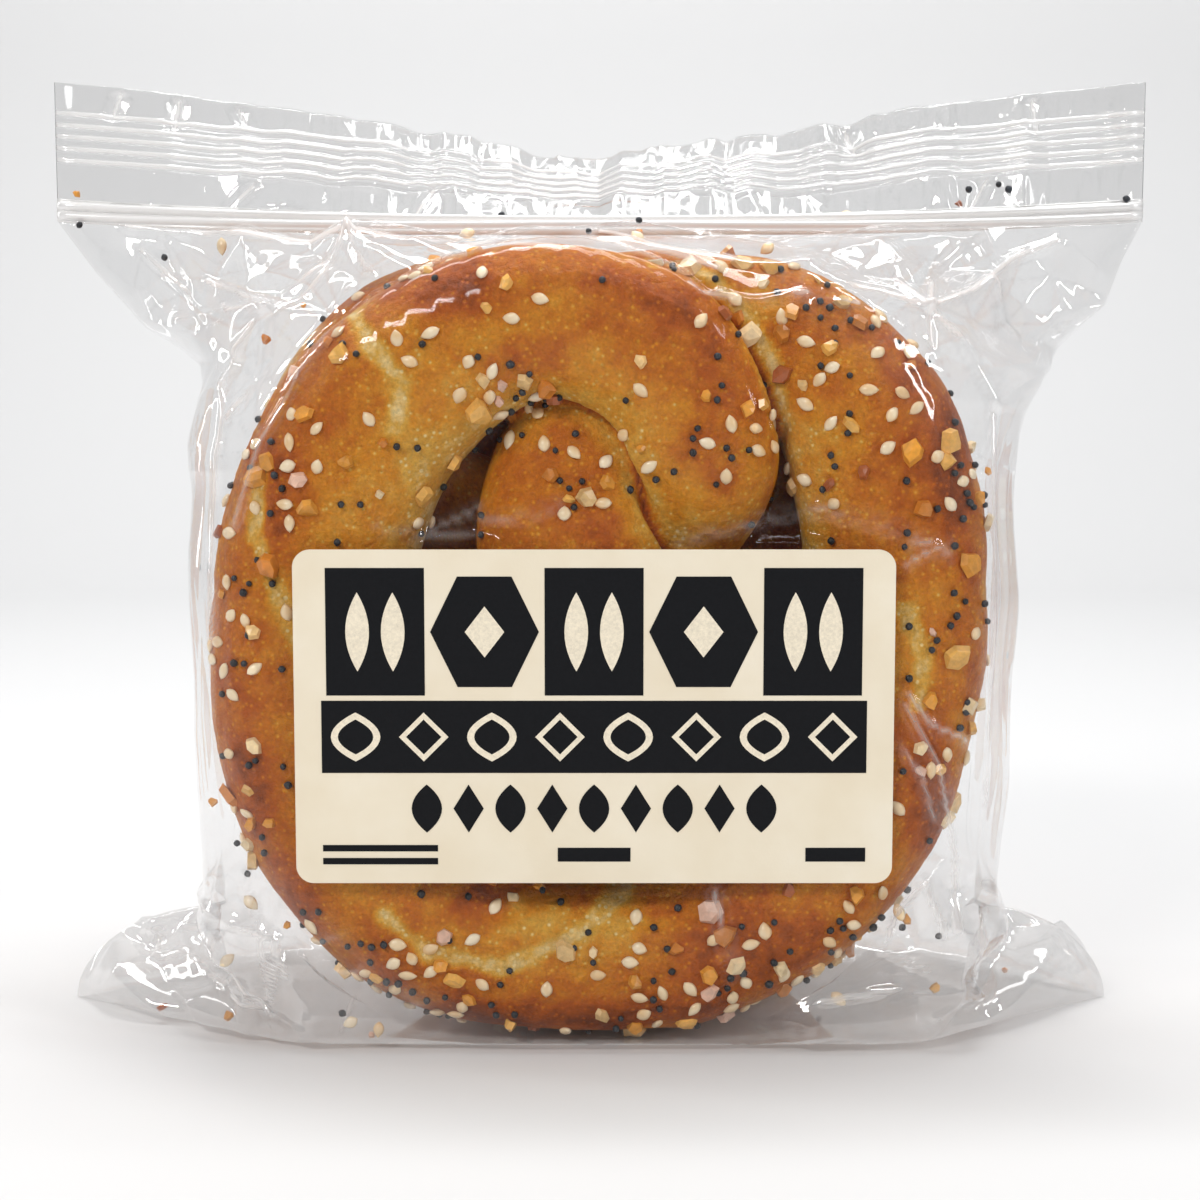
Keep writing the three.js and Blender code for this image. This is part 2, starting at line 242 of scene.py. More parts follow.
def corner_values(cells, seed):
    """A fixed random value from -1 to 1 for each cell of whole numbers, by hashing them."""
    mixed = (cells.astype(np.uint32) * CELL_PRIMES).sum(axis=-1, dtype=np.uint32)
    mixed = mixed + np.uint32(seed * 7919 % 2 ** 32)
    mixed = (mixed ^ (mixed >> np.uint32(15))) * HASH_FACTORS[0]
    mixed = (mixed ^ (mixed >> np.uint32(13))) * HASH_FACTORS[1]
    mixed = mixed ^ (mixed >> np.uint32(16))
    return mixed / HALF_RANGE - 1


def smooth_noise(points, grain, seed):
    """Random values at the corners of cubes of size grain, blended by eased shares inside them."""
    cell = points / grain
    low = np.floor(cell).astype(np.int64)
    share = ease(0, 1, cell - low)
    total = np.zeros(points.shape[:-1])
    for corner in np.ndindex(2, 2, 2):
        weight = np.prod(np.where(corner, share, 1 - share), axis=-1)
        total += weight * corner_values(low + np.array(corner), seed)
    return total


def layered_noise(points, grain, seed, layers=3):
    """Smooth noise plus ever finer and weaker layers of it, each turned against the last."""
    total = np.zeros(points.shape[:-1])
    strength = 1.0
    for layer in range(layers):
        total += strength * smooth_noise(points, grain, seed + layer)
        points = points @ LAYER_TURN
        grain *= 0.48
        strength *= 0.55
    return total


def facets(points, grain, seed, stretch=(1, 1, 1)):
    """Flat facets that meet at straight creases, as in crumpled film: random heights at the corners
    of a lattice of tetrahedra, joined by straight lines. Grain is its size, times the stretch."""
    cell = (points / (grain * np.array(stretch))) @ LAYER_TURN
    low = np.floor(cell).astype(np.int64)
    share = cell - low
    order = np.argsort(-share, axis=-1)
    ranked = np.take_along_axis(share, order, axis=-1)
    total = (1 - ranked[..., 0]) * corner_values(low, seed)
    corner = low
    for step in range(3):
        corner = corner + (np.arange(3) == order[..., step, None])
        weight = ranked[..., step] - (ranked[..., step + 1] if step < 2 else 0)
        total += weight * corner_values(corner, seed)
    return total


# ---- Meshes ----

def fill_mesh(name, points, face_groups, smooth=True):
    """A mesh of points in millimetres and of arrays of faces, each array with one corner count."""
    mesh = bpy.data.meshes.new(name)
    mesh.vertices.add(len(points))
    mesh.vertices.foreach_set("co", (points * MM).astype(np.float32).ravel())
    corners = np.concatenate([faces.ravel() for faces in face_groups]).astype(np.int32)
    counts = np.concatenate([np.full(len(faces), faces.shape[1]) for faces in face_groups])
    starts = np.concatenate([[0], np.cumsum(counts)[:-1]]).astype(np.int32)
    mesh.loops.add(len(corners))
    mesh.loops.foreach_set("vertex_index", corners)
    mesh.polygons.add(len(counts))
    mesh.polygons.foreach_set("loop_start", starts)
    mesh.polygons.foreach_set("use_smooth", np.full(len(counts), smooth))
    mesh.update(calc_edges=True)
    return mesh


def show(name, mesh, material):
    """An object at the origin that shows a mesh in a material."""
    mesh.materials.clear()
    mesh.materials.append(material)
    piece = bpy.data.objects.new(name, mesh)
    bpy.context.scene.collection.objects.link(piece)
    return piece


def add_piece(name, mesh, material):
    """A piece of the object, which rides on its body and shows a mesh in a material."""
    piece = show(name, mesh, material)
    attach(piece, BODY)
    return piece


def set_attribute(mesh, name, values):
    """A number, or a colour, at every vertex."""
    kind = "FLOAT" if values.ndim == 1 else "FLOAT_COLOR"
    attribute = mesh.attributes.new(name, kind, "POINT")
    field = "value" if values.ndim == 1 else "color"
    attribute.data.foreach_set(field, values.astype(np.float32).ravel())


def mesh_points(mesh):
    """The vertices of a mesh in millimetres."""
    points = np.empty(len(mesh.vertices) * 3, dtype=np.float32)
    mesh.vertices.foreach_get("co", points)
    return points.reshape(-1, 3).astype(float) / MM


def mesh_normals(mesh):
    """Outward directions at the vertices of a mesh."""
    normals = np.empty(len(mesh.vertices) * 3, dtype=np.float32)
    mesh.vertex_normals.foreach_get("vector", normals)
    return normals.reshape(-1, 3).astype(float)


def move_points(mesh, points):
    """Puts the vertices of a mesh at points in millimetres."""
    mesh.vertices.foreach_set("co", (points * MM).astype(np.float32).ravel())
    mesh.update()


def row_faces(rows, columns, closed=True):
    """Faces between rows of points that run anticlockwise as seen from the side that the rows go
    towards, each row a closed ring, or else an open line."""
    row, column = np.meshgrid(np.arange(rows - 1), np.arange(columns - (not closed)), indexing="ij")
    here = row * columns + column
    beside = row * columns + (column + 1) % columns
    return np.stack([here, beside, beside + columns, here + columns], axis=-1).reshape(-1, 4)


def end_fans(rows, columns, first, last):
    """Triangles that close the first and the last ring of a stack at two pole points."""
    column = np.arange(columns)
    beside = (column + 1) % columns
    top = (rows - 1) * columns
    bottom_fan = np.stack([beside, column, np.full(columns, first)], axis=-1)
    top_fan = np.stack([top + column, top + beside, np.full(columns, last)], axis=-1)
    return np.vstack([bottom_fan, top_fan])


def smooth_curve(stations, steps):
    """Points on the curve through stations, whose slope at each is half the step between its
    neighbours."""
    before = 2 * stations[0] - stations[1]
    after = 2 * stations[-1] - stations[-2]
    knots = np.vstack([before, stations, after])
    at = np.linspace(0, len(stations) - 1, steps + 1)
    stretch = np.minimum(at.astype(int), len(stations) - 2)
    t = (at - stretch)[:, None]
    a, b, c, d = (knots[stretch + i] for i in range(4))
    cubic = 3 * b - a - 3 * c + d
    square = 2 * a - 5 * b + 4 * c - d
    return 0.5 * (2 * b + (c - a) * t + square * t ** 2 + cubic * t ** 3)


# ---- Materials ----

def add_node(tree, kind, values=None, links=None, **settings):
    """Adds a shader node of a kind, sets its settings and its sockets' values, and links sockets to
    other nodes'."""
    node = tree.nodes.new("ShaderNode" + kind)
    for name, value in settings.items():
        setattr(node, name, value)
    for name, value in (values or {}).items():
        node.inputs[name].default_value = value
    for name, source in (links or {}).items():
        tree.links.new(source, node.inputs[name])
    return node


def new_material(name, shown_colour, surface_nodes, *details):
    """A material of the nodes that a function adds to its tree, shown in a linear colour while
    modelling."""
    material = bpy.data.materials.new(name)
    material.use_nodes = True
    material.diffuse_color = (*shown_colour, 1)
    tree = material.node_tree
    tree.nodes.clear()
    surface = surface_nodes(tree, *details)
    add_node(tree, "OutputMaterial", links={"Surface": surface.outputs[0]})
    return material


def set_ramp(node, stops):
    """Gives a colour ramp its stops, as (place, linear colour)."""
    elements = node.color_ramp.elements
    while len(elements) < len(stops):
        elements.new(0.5)
    for element, (place, colour) in zip(elements, stops):
        element.position = place
        element.color = (*colour, 1)


# Sockets that are set together, and a Mix node's colour sockets, whose names are shared
NOISE = ("Scale", "Detail", "Roughness")
RANGE = ("From Min", "From Max", "To Min", "To Max")
MIX_A, MIX_B, MIX_RESULT = 6, 7, 2


def sockets(names, *values):
    """Values by the names of the sockets that they are for."""
    return dict(zip(names, values))


# Sizes of the crust's features, and how high they stand
MOTTLE_SIZE = 2.6
BLISTER_SIZE = 1.5
CRUMB_SIZE = 0.7
CRUST_RELIEF = 0.45


def crust_surface(tree, settings):
    """Wheat dough, dipped in lye and baked: a thin glossy skin, from cream where it stretched open
    to red-brown on its ridges, with fine blisters and pores. Where the toast attribute says so, its
    darkest colour is a painted shade in the crevices between strands."""
    place = add_node(tree, "TexCoord").outputs["Object"]
    toast = add_node(tree, "Attribute", attribute_name="toast").outputs["Fac"]
    raw = add_node(tree, "Attribute", attribute_name="raw").outputs["Fac"]
    mottle = add_node(tree, "TexNoise", sockets(NOISE, 1 / (MOTTLE_SIZE * MM), 5.0, 0.62),
                      {"Vector": place})
    uneven = add_node(tree, "MapRange", sockets(RANGE, 0.25, 0.75, -0.13, 0.13),
                      {"Value": mottle.outputs["Fac"]})
    blisters = add_node(tree, "TexVoronoi", {"Scale": 1 / (BLISTER_SIZE * MM)}, {"Vector": place})
    spots = add_node(tree, "MapRange", sockets(RANGE, 0.06, 0.30, -0.26, 0.02),
                     {"Value": blisters.outputs["Distance"]})
    mottled = add_node(tree, "Math", links={0: toast, 1: uneven.outputs["Result"]},
                       operation="ADD")
    spotted = add_node(tree, "Math", operation="ADD", use_clamp=True,
                       links={0: mottled.outputs[0], 1: spots.outputs["Result"]})
    colour = add_node(tree, "ValToRGB", links={"Fac": spotted.outputs[0]})
    set_ramp(colour, [
        (0.0, settings.crust_cream), (0.18, settings.crust_pale), (0.38, settings.crust_golden),
        (0.56, settings.crust_amber), (0.74, settings.crust_brown), (0.95, settings.crust_dark),
    ])
    crumb = add_node(tree, "TexNoise", sockets(NOISE, 1 / (CRUMB_SIZE * MM), 4.0, 0.75),
                     {"Vector": place})
    crumb_tint = add_node(tree, "MapRange", sockets(RANGE, 0.32, 0.68, 0.74, 1.12),
                          {"Value": crumb.outputs["Fac"]})
    shade = add_node(tree, "Mix", {0: 1.0}, {
        MIX_A: colour.outputs["Color"], MIX_B: crumb_tint.outputs["Result"],
    }, data_type="RGBA", blend_type="MULTIPLY")
    rough = add_node(tree, "MapRange", sockets(RANGE, 0.0, 1.0, 0.4, 0.65), {"Value": raw})
    raised = add_node(tree, "Math", {1: 0.6}, {0: blisters.outputs["Distance"]},
                      operation="MULTIPLY")
    height = add_node(tree, "Math", links={0: raised.outputs[0], 1: crumb.outputs["Fac"]},
                      operation="ADD")
    bump = add_node(tree, "Bump", {"Strength": 1.0, "Distance": CRUST_RELIEF * MM},
                    {"Height": height.outputs[0]})
    return add_node(tree, "BsdfPrincipled", {
        "IOR": 1.3, "Coat Weight": 0.22, "Coat Roughness": 0.12, "Coat IOR": 1.42,
    }, {
        "Base Color": shade.outputs[MIX_RESULT], "Roughness": rough.outputs["Result"],
        "Normal": bump.outputs["Normal"], "Coat Normal": bump.outputs["Normal"],
    })


def sesame_surface(tree, settings):
    """Hulled white sesame, toasted a little: cream, waxy and slightly mottled."""
    place = add_node(tree, "TexCoord").outputs["Object"]
    mottle = add_node(tree, "TexNoise", sockets(NOISE, 1 / (5.0 * MM), 2.0, 0.55),
                      {"Vector": place})
    colour = add_node(tree, "ValToRGB", links={"Fac": mottle.outputs["Fac"]})
    set_ramp(colour, [
        (0.3, settings.sesame_toasted), (0.55, settings.sesame_colour), (0.8, linear("#FDF0D6")),
    ])
    grain = add_node(tree, "TexNoise", sockets(NOISE, 1 / (0.35 * MM), 2.0, 0.55),
                     {"Vector": place})
    bump = add_node(tree, "Bump", {"Strength": 0.3, "Distance": 0.08 * MM},
                    {"Height": grain.outputs["Fac"]})
    return add_node(tree, "BsdfPrincipled", {
        "IOR": 1.46, "Roughness": 0.34, "Coat Weight": 0.4, "Coat Roughness": 0.14,
    }, {"Base Color": colour.outputs["Color"], "Normal": bump.outputs["Normal"]})


def poppy_surface(tree, settings):
    """Blue-black poppy seed: a hard pitted hull with a dull shine."""
    place = add_node(tree, "TexCoord").outputs["Object"]
    tone = add_node(tree, "TexNoise", sockets(NOISE, 1 / (3.0 * MM), 1.0, 0.55), {"Vector": place})
    colour = add_node(tree, "ValToRGB", links={"Fac": tone.outputs["Fac"]})
    set_ramp(colour, [
        (0.35, settings.poppy_colour), (0.7, linear("#2E343C")), (0.85, linear("#3A2A22")),
    ])
    pits = add_node(tree, "TexVoronoi", {"Scale": 1 / (0.25 * MM)}, {"Vector": place})
    bump = add_node(tree, "Bump", {"Strength": 0.4, "Distance": 0.05 * MM},
                    {"Height": pits.outputs["Distance"]})
    return add_node(tree, "BsdfPrincipled", {"IOR": 1.5, "Roughness": 0.42},
                    {"Base Color": colour.outputs["Color"], "Normal": bump.outputs["Normal"]})


def flake_surface(tree):
    """Dried garlic and onion, chopped and toasted: hard glassy chips, each of its own colour."""
    place = add_node(tree, "TexCoord").outputs["Object"]
    own = add_node(tree, "Attribute", attribute_name="chip_colour").outputs["Color"]
    cloud = add_node(tree, "TexNoise", sockets(NOISE, 1 / (1.3 * MM), 3.0, 0.55), {"Vector": place})
    tint = add_node(tree, "MapRange", sockets(RANGE, 0.3, 0.7, 0.78, 1.08),
                    {"Value": cloud.outputs["Fac"]})
    shade = add_node(tree, "Mix", {0: 1.0}, {MIX_A: own, MIX_B: tint.outputs["Result"]},
                     data_type="RGBA", blend_type="MULTIPLY")
    bump = add_node(tree, "Bump", {"Strength": 0.4, "Distance": 0.12 * MM},
                    {"Height": cloud.outputs["Fac"]})
    return add_node(tree, "BsdfPrincipled", {
        "IOR": 1.5, "Roughness": 0.3, "Coat Weight": 0.2, "Coat Roughness": 0.15,
    }, {"Base Color": shade.outputs[MIX_RESULT], "Normal": bump.outputs["Normal"]})


# What a film mirrors head-on where it clings to dough, where it hangs free and on a crease, and
# how white a crease is painted, a painted highlight
CLINGING_MIRROR = 0.010
FREE_MIRROR = 0.06
CREASE_MIRROR = 0.09
CREASE_PAINTED_GLINT = 0.05
HEADER_MIRROR = 0.036
ZIP_MIRROR = 0.20
ZIP_MILK = 0.9
# painted highlight along the header's rib crests and single folds
RIB_PAINTED_HIGHLIGHT = 0.8
# painted highlight on the film's foot beside the pretzels, white where it hangs free
FOOT_PAINTED_GLINT = 0.10
FOOT_GLINT_Z = (8, 26)  # full below, and none above


def film_surface(tree, tint, roughness, glow):
    """Polypropylene film, cast thin and clear: it shows what is behind it, takes a sharp white
    gleam on every facet, and scatters milky white light both ways by an attribute: a little real haze,
    and painted highlights on its creases, fold lines, ribs and foot. What it mirrors grows from the
    share in its mirror attribute head-on to all of it edge-on, by the fifth power. Glow is the share of
    scattered light that comes from behind."""
    mirror = add_node(tree, "Attribute", attribute_name="mirror").outputs["Fac"]
    milk_and_painted_glints = add_node(tree, "Attribute", attribute_name="milk_and_painted_glints").outputs["Fac"]
    milk_colour = (*linear("#FAF9F8"), 1)
    clear = add_node(tree, "BsdfTransparent", {"Color": (*tint, 1)})
    lit = add_node(tree, "BsdfDiffuse", {"Color": milk_colour})
    through = add_node(tree, "BsdfTranslucent", {"Color": milk_colour})
    milky = add_node(tree, "MixShader", {0: glow}, {1: lit.outputs[0], 2: through.outputs[0]})
    body = add_node(tree, "MixShader", links={0: milk_and_painted_glints, 1: clear.outputs[0], 2: milky.outputs[0]})
    gleam = add_node(tree, "BsdfGlossy", {"Color": (1, 1, 1, 1), "Roughness": roughness})
    edge_on = add_node(tree, "LayerWeight", {"Blend": 0.5})
    steep = add_node(tree, "Math", {1: 5.0}, {0: edge_on.outputs["Facing"]}, operation="POWER")
    mirrored = add_node(tree, "Mix", {3: 1.0}, {0: steep.outputs[0], 2: mirror})
    return add_node(tree, "MixShader", links={
        0: mirrored.outputs[0], 1: body.outputs[0], 2: gleam.outputs[0],
    })


FIBRE_SIZE = 0.5  # of paper fibres, clumped as coarse as shows


def paper_surface(tree, settings):
    """Uncoated label paper: warm cream, matt, with soft fibres and faint ripples where it is stuck
    on film."""
    place = add_node(tree, "TexCoord").outputs["Object"]
    cloud = add_node(tree, "TexNoise", sockets(NOISE, 1 / (14.0 * MM), 3.0, 0.55),
                     {"Vector": place})
    colour = add_node(tree, "ValToRGB", links={"Fac": cloud.outputs["Fac"]})
    set_ramp(colour, [
        (0.3, linear("#EFE2C8")), (0.6, settings.paper_colour), (0.85, linear("#F8EFDC")),
    ])
    fibres = add_node(tree, "TexNoise", sockets(NOISE, 1 / (FIBRE_SIZE * MM), 5.0, 0.7),
                      {"Vector": place})
    ripples = add_node(tree, "TexNoise", sockets(NOISE, 1 / (22.0 * MM), 1.0, 0.55),
                       {"Vector": place})
    fine = add_node(tree, "Math", {1: 0.03}, {0: fibres.outputs["Fac"]}, operation="MULTIPLY")
    height = add_node(tree, "Math", links={0: ripples.outputs["Fac"], 1: fine.outputs[0]},
                      operation="ADD")
    bump = add_node(tree, "Bump", {"Strength": 0.6, "Distance": 1.6 * MM},
                    {"Height": height.outputs[0]})
    return add_node(tree, "BsdfPrincipled", {"IOR": 1.5, "Roughness": 0.58},
                    {"Base Color": colour.outputs["Color"], "Normal": bump.outputs["Normal"]})


def ink_surface(tree, colour):
    """Printing ink soaked into paper: an even colour, almost without shine."""
    place = add_node(tree, "TexCoord").outputs["Object"]
    fibres = add_node(tree, "TexNoise", sockets(NOISE, 1 / (FIBRE_SIZE * MM), 4.0, 0.7),
                      {"Vector": place})
    tone = add_node(tree, "MapRange", sockets(RANGE, 0.3, 0.7, 0.85, 1.1),
                    {"Value": fibres.outputs["Fac"]})
    shade = add_node(tree, "Mix", {0: 1.0, MIX_A: (*colour, 1)},
                     {MIX_B: tone.outputs["Result"]}, data_type="RGBA", blend_type="MULTIPLY")
    return add_node(tree, "BsdfPrincipled", {
        "IOR": 1.5, "Roughness": 0.6, "Specular IOR Level": 0.12,
    }, {"Base Color": shade.outputs[MIX_RESULT]})


# ---- Pretzels ----

BATCH = 6000  # points that are measured against the rope at a time
SOFTENING = 5  # times that the fused seams are evened out
PRESS_EASE = 1.8  # how far before a limit dough starts to flatten
LUMP_SIZE, LUMP_HEIGHT = 17.0, 0.55
WRINKLE_SIZE, WRINKLE_HEIGHT = 2.4, 0.34
WRINKLE_DRAWN_OUT = 0.22  # how much shorter a wrinkle counts along its strand
RAGGED_SIZE, RAGGED_HEIGHT = 2.1, 0.28
OPENED_DEPTH = 0.32  # how deep a stretch mark lies
DOUGH_BLISTER_SIZE, DOUGH_BLISTER_HEIGHT = 1.9, 0.10
SEAM_REACH = (0.02, 0.42)  # beside a touching strand: pale, and in between ever less
# the crevice right beside a touching strand is painted dark as shade
CREVICE_SHADE_REACH = (0.0, 0.085)  # dark
GROOVE_REACH = (0.0, 0.16)  # and sunk, as shares of a strand's half width
CROSSING_Z = (32, 38)  # under this the two strands run into one
CROSSING_GAP = 0.45
# How browned dough is, from 0 to 1: all of it, and how much more on its backs, its undersides and
# its outer edges, and in ever finer patches, each with its size
TOAST, TOAST_CROWN, TOAST_UNDER, TOAST_RIM = 0.29, 0.20, 0.22, 0.15
TOAST_PATCHES = [(11.0, 0.13, 31), (3.6, 0.07, 41)]
TOAST_ALONG = (3.0, 0.05)
TOAST_WRINKLES = 0.16
# How browned seams and stretch marks are instead and how uneven, how dark the painted shade in crevices is,
# and how much each covers
SEAM_TOAST, SEAM_UNEVEN, SEAM_COVER = 0.14, (3.0, 0.08), 0.8
OPENED_TOAST, OPENED_UNEVEN, OPENED_COVER = 0.07, (2.5, 0.10), 0.92
CREVICE_PAINTED_SHADE, CREVICE_SHADE_COVER = 0.98, 0.9


def pretzel_rope(pretzel):
    """The rope of a pretzel as a smooth curve. The hidden pretzels' stations are moved a little at
    random, and one pretzel lies on its side, so that dough shows through the front one's holes."""
    name, _, _, turn, seed, _ = pretzel
    jitter = 0 if name == "pretzel_front" else STATION_JITTER
    rng = np.random.default_rng(seed)
    stations = ROPE.copy()
    stations[:, :3] += rng.normal(size=(len(ROPE), 3)) * [jitter, jitter, 0.3 * jitter]
    cos, sin = np.cos(np.radians(turn)), np.sin(np.radians(turn))
    x, rise = stations[:, 0].copy(), stations[:, 1] - PRETZEL_MIDDLE_Z
    stations[:, 0] = x * cos - rise * sin
    stations[:, 1] = PRETZEL_MIDDLE_Z + x * sin + rise * cos
    return smooth_curve(stations, ROPE_STEPS)


def rope_tube(rope):
    """A full rounded section carried along the rope, closed by rounded tips: on each section, a
    superellipse as wide and as thick as the station says."""
    middle = np.stack([rope[:, 0], rope[:, 3], rope[:, 1]], axis=-1)
    along = unit(np.gradient(middle, axis=0))
    across = unit(np.cross(along, [0, 1, 0]))
    through = np.cross(across, along)
    travelled = rope_lengths(rope)
    to_tip = np.minimum(travelled, travelled[-1] - travelled)
    tip = np.sqrt(1 - (1 - np.clip(to_tip / END_ROUNDING, 0.02, 1)) ** 2)
    angle = np.linspace(0, 2 * np.pi, SECTION_STEPS, endpoint=False)
    sideways = np.sign(np.cos(angle)) * np.abs(np.cos(angle)) ** (2 / SECTION_POWER)
    deep = np.sign(np.sin(angle)) * np.abs(np.sin(angle)) ** (2 / SECTION_POWER)
    wide = (rope[:, 2] * tip)[:, None, None] * sideways[None, :, None] * across[:, None, :]
    thick = (rope[:, 4] * tip)[:, None, None] * deep[None, :, None] * through[:, None, :]
    rings = middle[:, None, :] + wide + thick
    rows = len(rope)
    points = np.vstack([rings.reshape(-1, 3), middle[:1], middle[-1:]])
    poles = end_fans(rows, SECTION_STEPS, len(points) - 2, len(points) - 1)
    return points, [row_faces(rows, SECTION_STEPS), poles]


def rope_lengths(rope):
    """Distance along the rope from its first tip to each sample."""
    steps = np.linalg.norm(np.diff(rope[:, [0, 3, 1]], axis=0), axis=1)
    return np.concatenate([[0], np.cumsum(steps)])


def on_rope(points, rope):
    """For each point: the sample of the rope whose section it lies deepest in, how deep (0 in the
    middle, 1 at the surface), and how deep it lies in the nearest other strand."""
    travelled = rope_lengths(rope)
    nearest = np.empty(len(points), dtype=int)
    depth = np.empty(len(points))
    other = np.empty(len(points))
    for start in range(0, len(points), BATCH):
        part = points[start:start + BATCH]
        flat = np.hypot(part[:, None, 0] - rope[:, 0], part[:, None, 2] - rope[:, 1]) / rope[:, 2]
        thick = np.abs(part[:, None, 1] - rope[:, 3]) / rope[:, 4]
        reach = (flat ** SECTION_POWER + thick ** SECTION_POWER) ** (1 / SECTION_POWER)
        best = reach.argmin(axis=1)
        own = np.abs(travelled[None, :] - travelled[best][:, None]) < OTHER_STRAND
        nearest[start:start + BATCH] = best
        depth[start:start + BATCH] = reach[np.arange(len(part)), best]
        other[start:start + BATCH] = np.where(own, np.inf, reach).min(axis=1)
    return nearest, depth, other


def press_flat(depth, limit):
    """Dough that would stand beyond a limit, eased back to it: what lies past a start just under
    the limit comes nearer to it ever more slowly, as an exponential."""
    start = limit - PRESS_EASE
    over = np.maximum(depth - start, 0)
    return np.where(depth > start, limit - PRESS_EASE * np.exp(-over / PRESS_EASE), depth)


def line_distance(places, line):
    """Distance of places from a line of straight stretches, in the plane."""
    nearest = np.full(len(places), np.inf)
    for start, end in zip(line[:-1], line[1:]):
        step = end - start
        share = np.clip(((places - start) @ step) / (step @ step), 0, 1)
        nearest = np.minimum(nearest, np.linalg.norm(places - start - share[:, None] * step, axis=1))
    return nearest


def front_marks(points, seed):
    """The front pretzel's own patches and stretch marks: how much browner, and how open."""
    places = points[:, [0, 2]]
    browner = np.zeros(len(points))
    wobble = 0.35 * layered_noise(points, 7.0, seed + 5)
    for column, row, half_width, half_height, amount in CRUST_PATCHES:
        middle = photo_place((column, row), FRONT_FACE_Y)
        away = (places - middle) / (np.array([half_width, half_height]) * PIXEL_MM)
        distance = np.linalg.norm(away, axis=1) + wobble
        browner += amount * (1 - ease(0.45, 1.35, distance))
    opened = np.zeros(len(points))
    for half_width, pixels in STRETCH_MARKS:
        distance = line_distance(places, photo_place(pixels, FRONT_FACE_Y)) / (half_width * PIXEL_MM)
        opened = np.maximum(opened, 1 - ease(0.35, 1.15, distance + wobble))
    return browner, opened


def random_marks(points, seed):
    """The other pretzels' patches and stretch marks: bands and spots of noise."""
    browner = 0.22 * layered_noise(points, 24.0, seed + 61)
    line = np.abs(smooth_noise(points, 30.0, seed + 71))
    somewhere = ease(0.15, 0.4, smooth_noise(points, 26.0, seed + 81))
    opened = somewhere * (1 - ease(0.03, 0.13, line + 0.03 * smooth_noise(points, 3.0, seed)))
    return browner, opened


def finish_dough(mesh, pretzel, rope):
    """Turns the fused rope into dough: pressed flat where its neighbours are, lumpy, wrinkled along
    the strands and rough in its stretch marks, with how browned it is at every vertex and a painted
    shade in the crevices between touching strands. All of it moves vertices along their normals by
    noise of the real thing's sizes."""
    name, middle, facing, _, seed, _ = pretzel
    points = mesh_points(mesh)
    front = -points[:, 1]
    outer = OUTER_LIMIT if name != "pretzel_middle" else INNER_LIMIT
    points[:, 1] = np.where(front > 0, -press_flat(front, outer), press_flat(-front, INNER_LIMIT))
    points[:, 2] = -press_flat(-points[:, 2], -DOUGH_REST)
    nearest, depth, other = on_rope(points, rope)
    travelled = rope_lengths(rope)[nearest]
    sideways = np.hypot(points[:, 0] - rope[nearest, 0], points[:, 2] - rope[nearest, 1])
    facing_up = np.clip((rope[nearest, 3] - points[:, 1]) / rope[nearest, 4], -1, 1)
    gap = other - depth + CROSSING_GAP * (1 - ease(*CROSSING_Z, points[:, 2]))
    seam = 1 - ease(*SEAM_REACH, gap)
    painted_crevice_shade = 1 - ease(*CREVICE_SHADE_REACH, gap)
    away = points[:, [0, 2]] - [0, PRETZEL_MIDDLE_Z]
    rim = np.sum((points[:, [0, 2]] - rope[nearest, :2]) * unit(away), axis=1) / rope[nearest, 2]
    if name == "pretzel_front":
        browner, opened = front_marks(points, seed)
    else:
        browner, opened = random_marks(points, seed)
    opened = opened * ease(-0.2, 0.35, facing_up)
    strand_place = np.stack([travelled * WRINKLE_DRAWN_OUT, sideways, points[:, 1]], axis=-1)
    lumps = LUMP_HEIGHT * layered_noise(points, LUMP_SIZE, seed, 2)
    wrinkled = layered_noise(strand_place, WRINKLE_SIZE, seed + 7, 3) * ease(-0.1, 0.4, facing_up)
    in_patches = ease(-0.5, 0.6, smooth_noise(points, 14.0, seed + 17))
    wrinkles = WRINKLE_HEIGHT * wrinkled * in_patches
    ragged = opened * (RAGGED_HEIGHT * layered_noise(points, RAGGED_SIZE, seed + 9, 3) - OPENED_DEPTH)
    blistered = np.maximum(layered_noise(points, DOUGH_BLISTER_SIZE, seed + 15, 2), 0)
    blisters = DOUGH_BLISTER_HEIGHT * blistered
    groove = -SEAM_GROOVE * (1 - ease(*GROOVE_REACH, gap))
    move_points(mesh, points)
    points += mesh_normals(mesh) * (lumps + wrinkles + ragged + blisters + groove)[:, None]
    crown = ease(0.05, 0.95, facing_up)
    under = ease(0.1, 0.8, -facing_up)
    toast = TOAST + TOAST_CROWN * crown + TOAST_UNDER * under + TOAST_RIM * rim + browner
    for size, strength, shift in TOAST_PATCHES:
        toast += strength * layered_noise(points, size, seed + shift)
    size, strength = TOAST_ALONG
    toast += strength * layered_noise(strand_place, size, seed + 51) - TOAST_WRINKLES * wrinkles
    size, strength = SEAM_UNEVEN
    toast = mix(toast, SEAM_TOAST + strength * layered_noise(points, size, seed + 43), SEAM_COVER * seam)
    size, strength = OPENED_UNEVEN
    bare = OPENED_TOAST + strength * layered_noise(points, size, seed + 47)
    toast = mix(toast, bare, OPENED_COVER * opened)
    # painted shade: the crevices between touching strands take the darkest crust
    toast = mix(toast, CREVICE_PAINTED_SHADE, CREVICE_SHADE_COVER * painted_crevice_shade)
    points[:, :2] *= -facing
    points[:, 1] += middle
    points[:, 2] = np.maximum(points[:, 2], DOUGH_FLOOR)
    move_points(mesh, points)
    set_attribute(mesh, "toast", np.clip(toast, 0, 1))
    set_attribute(mesh, "raw", np.clip(opened + 0.4 * seam, 0, 1))


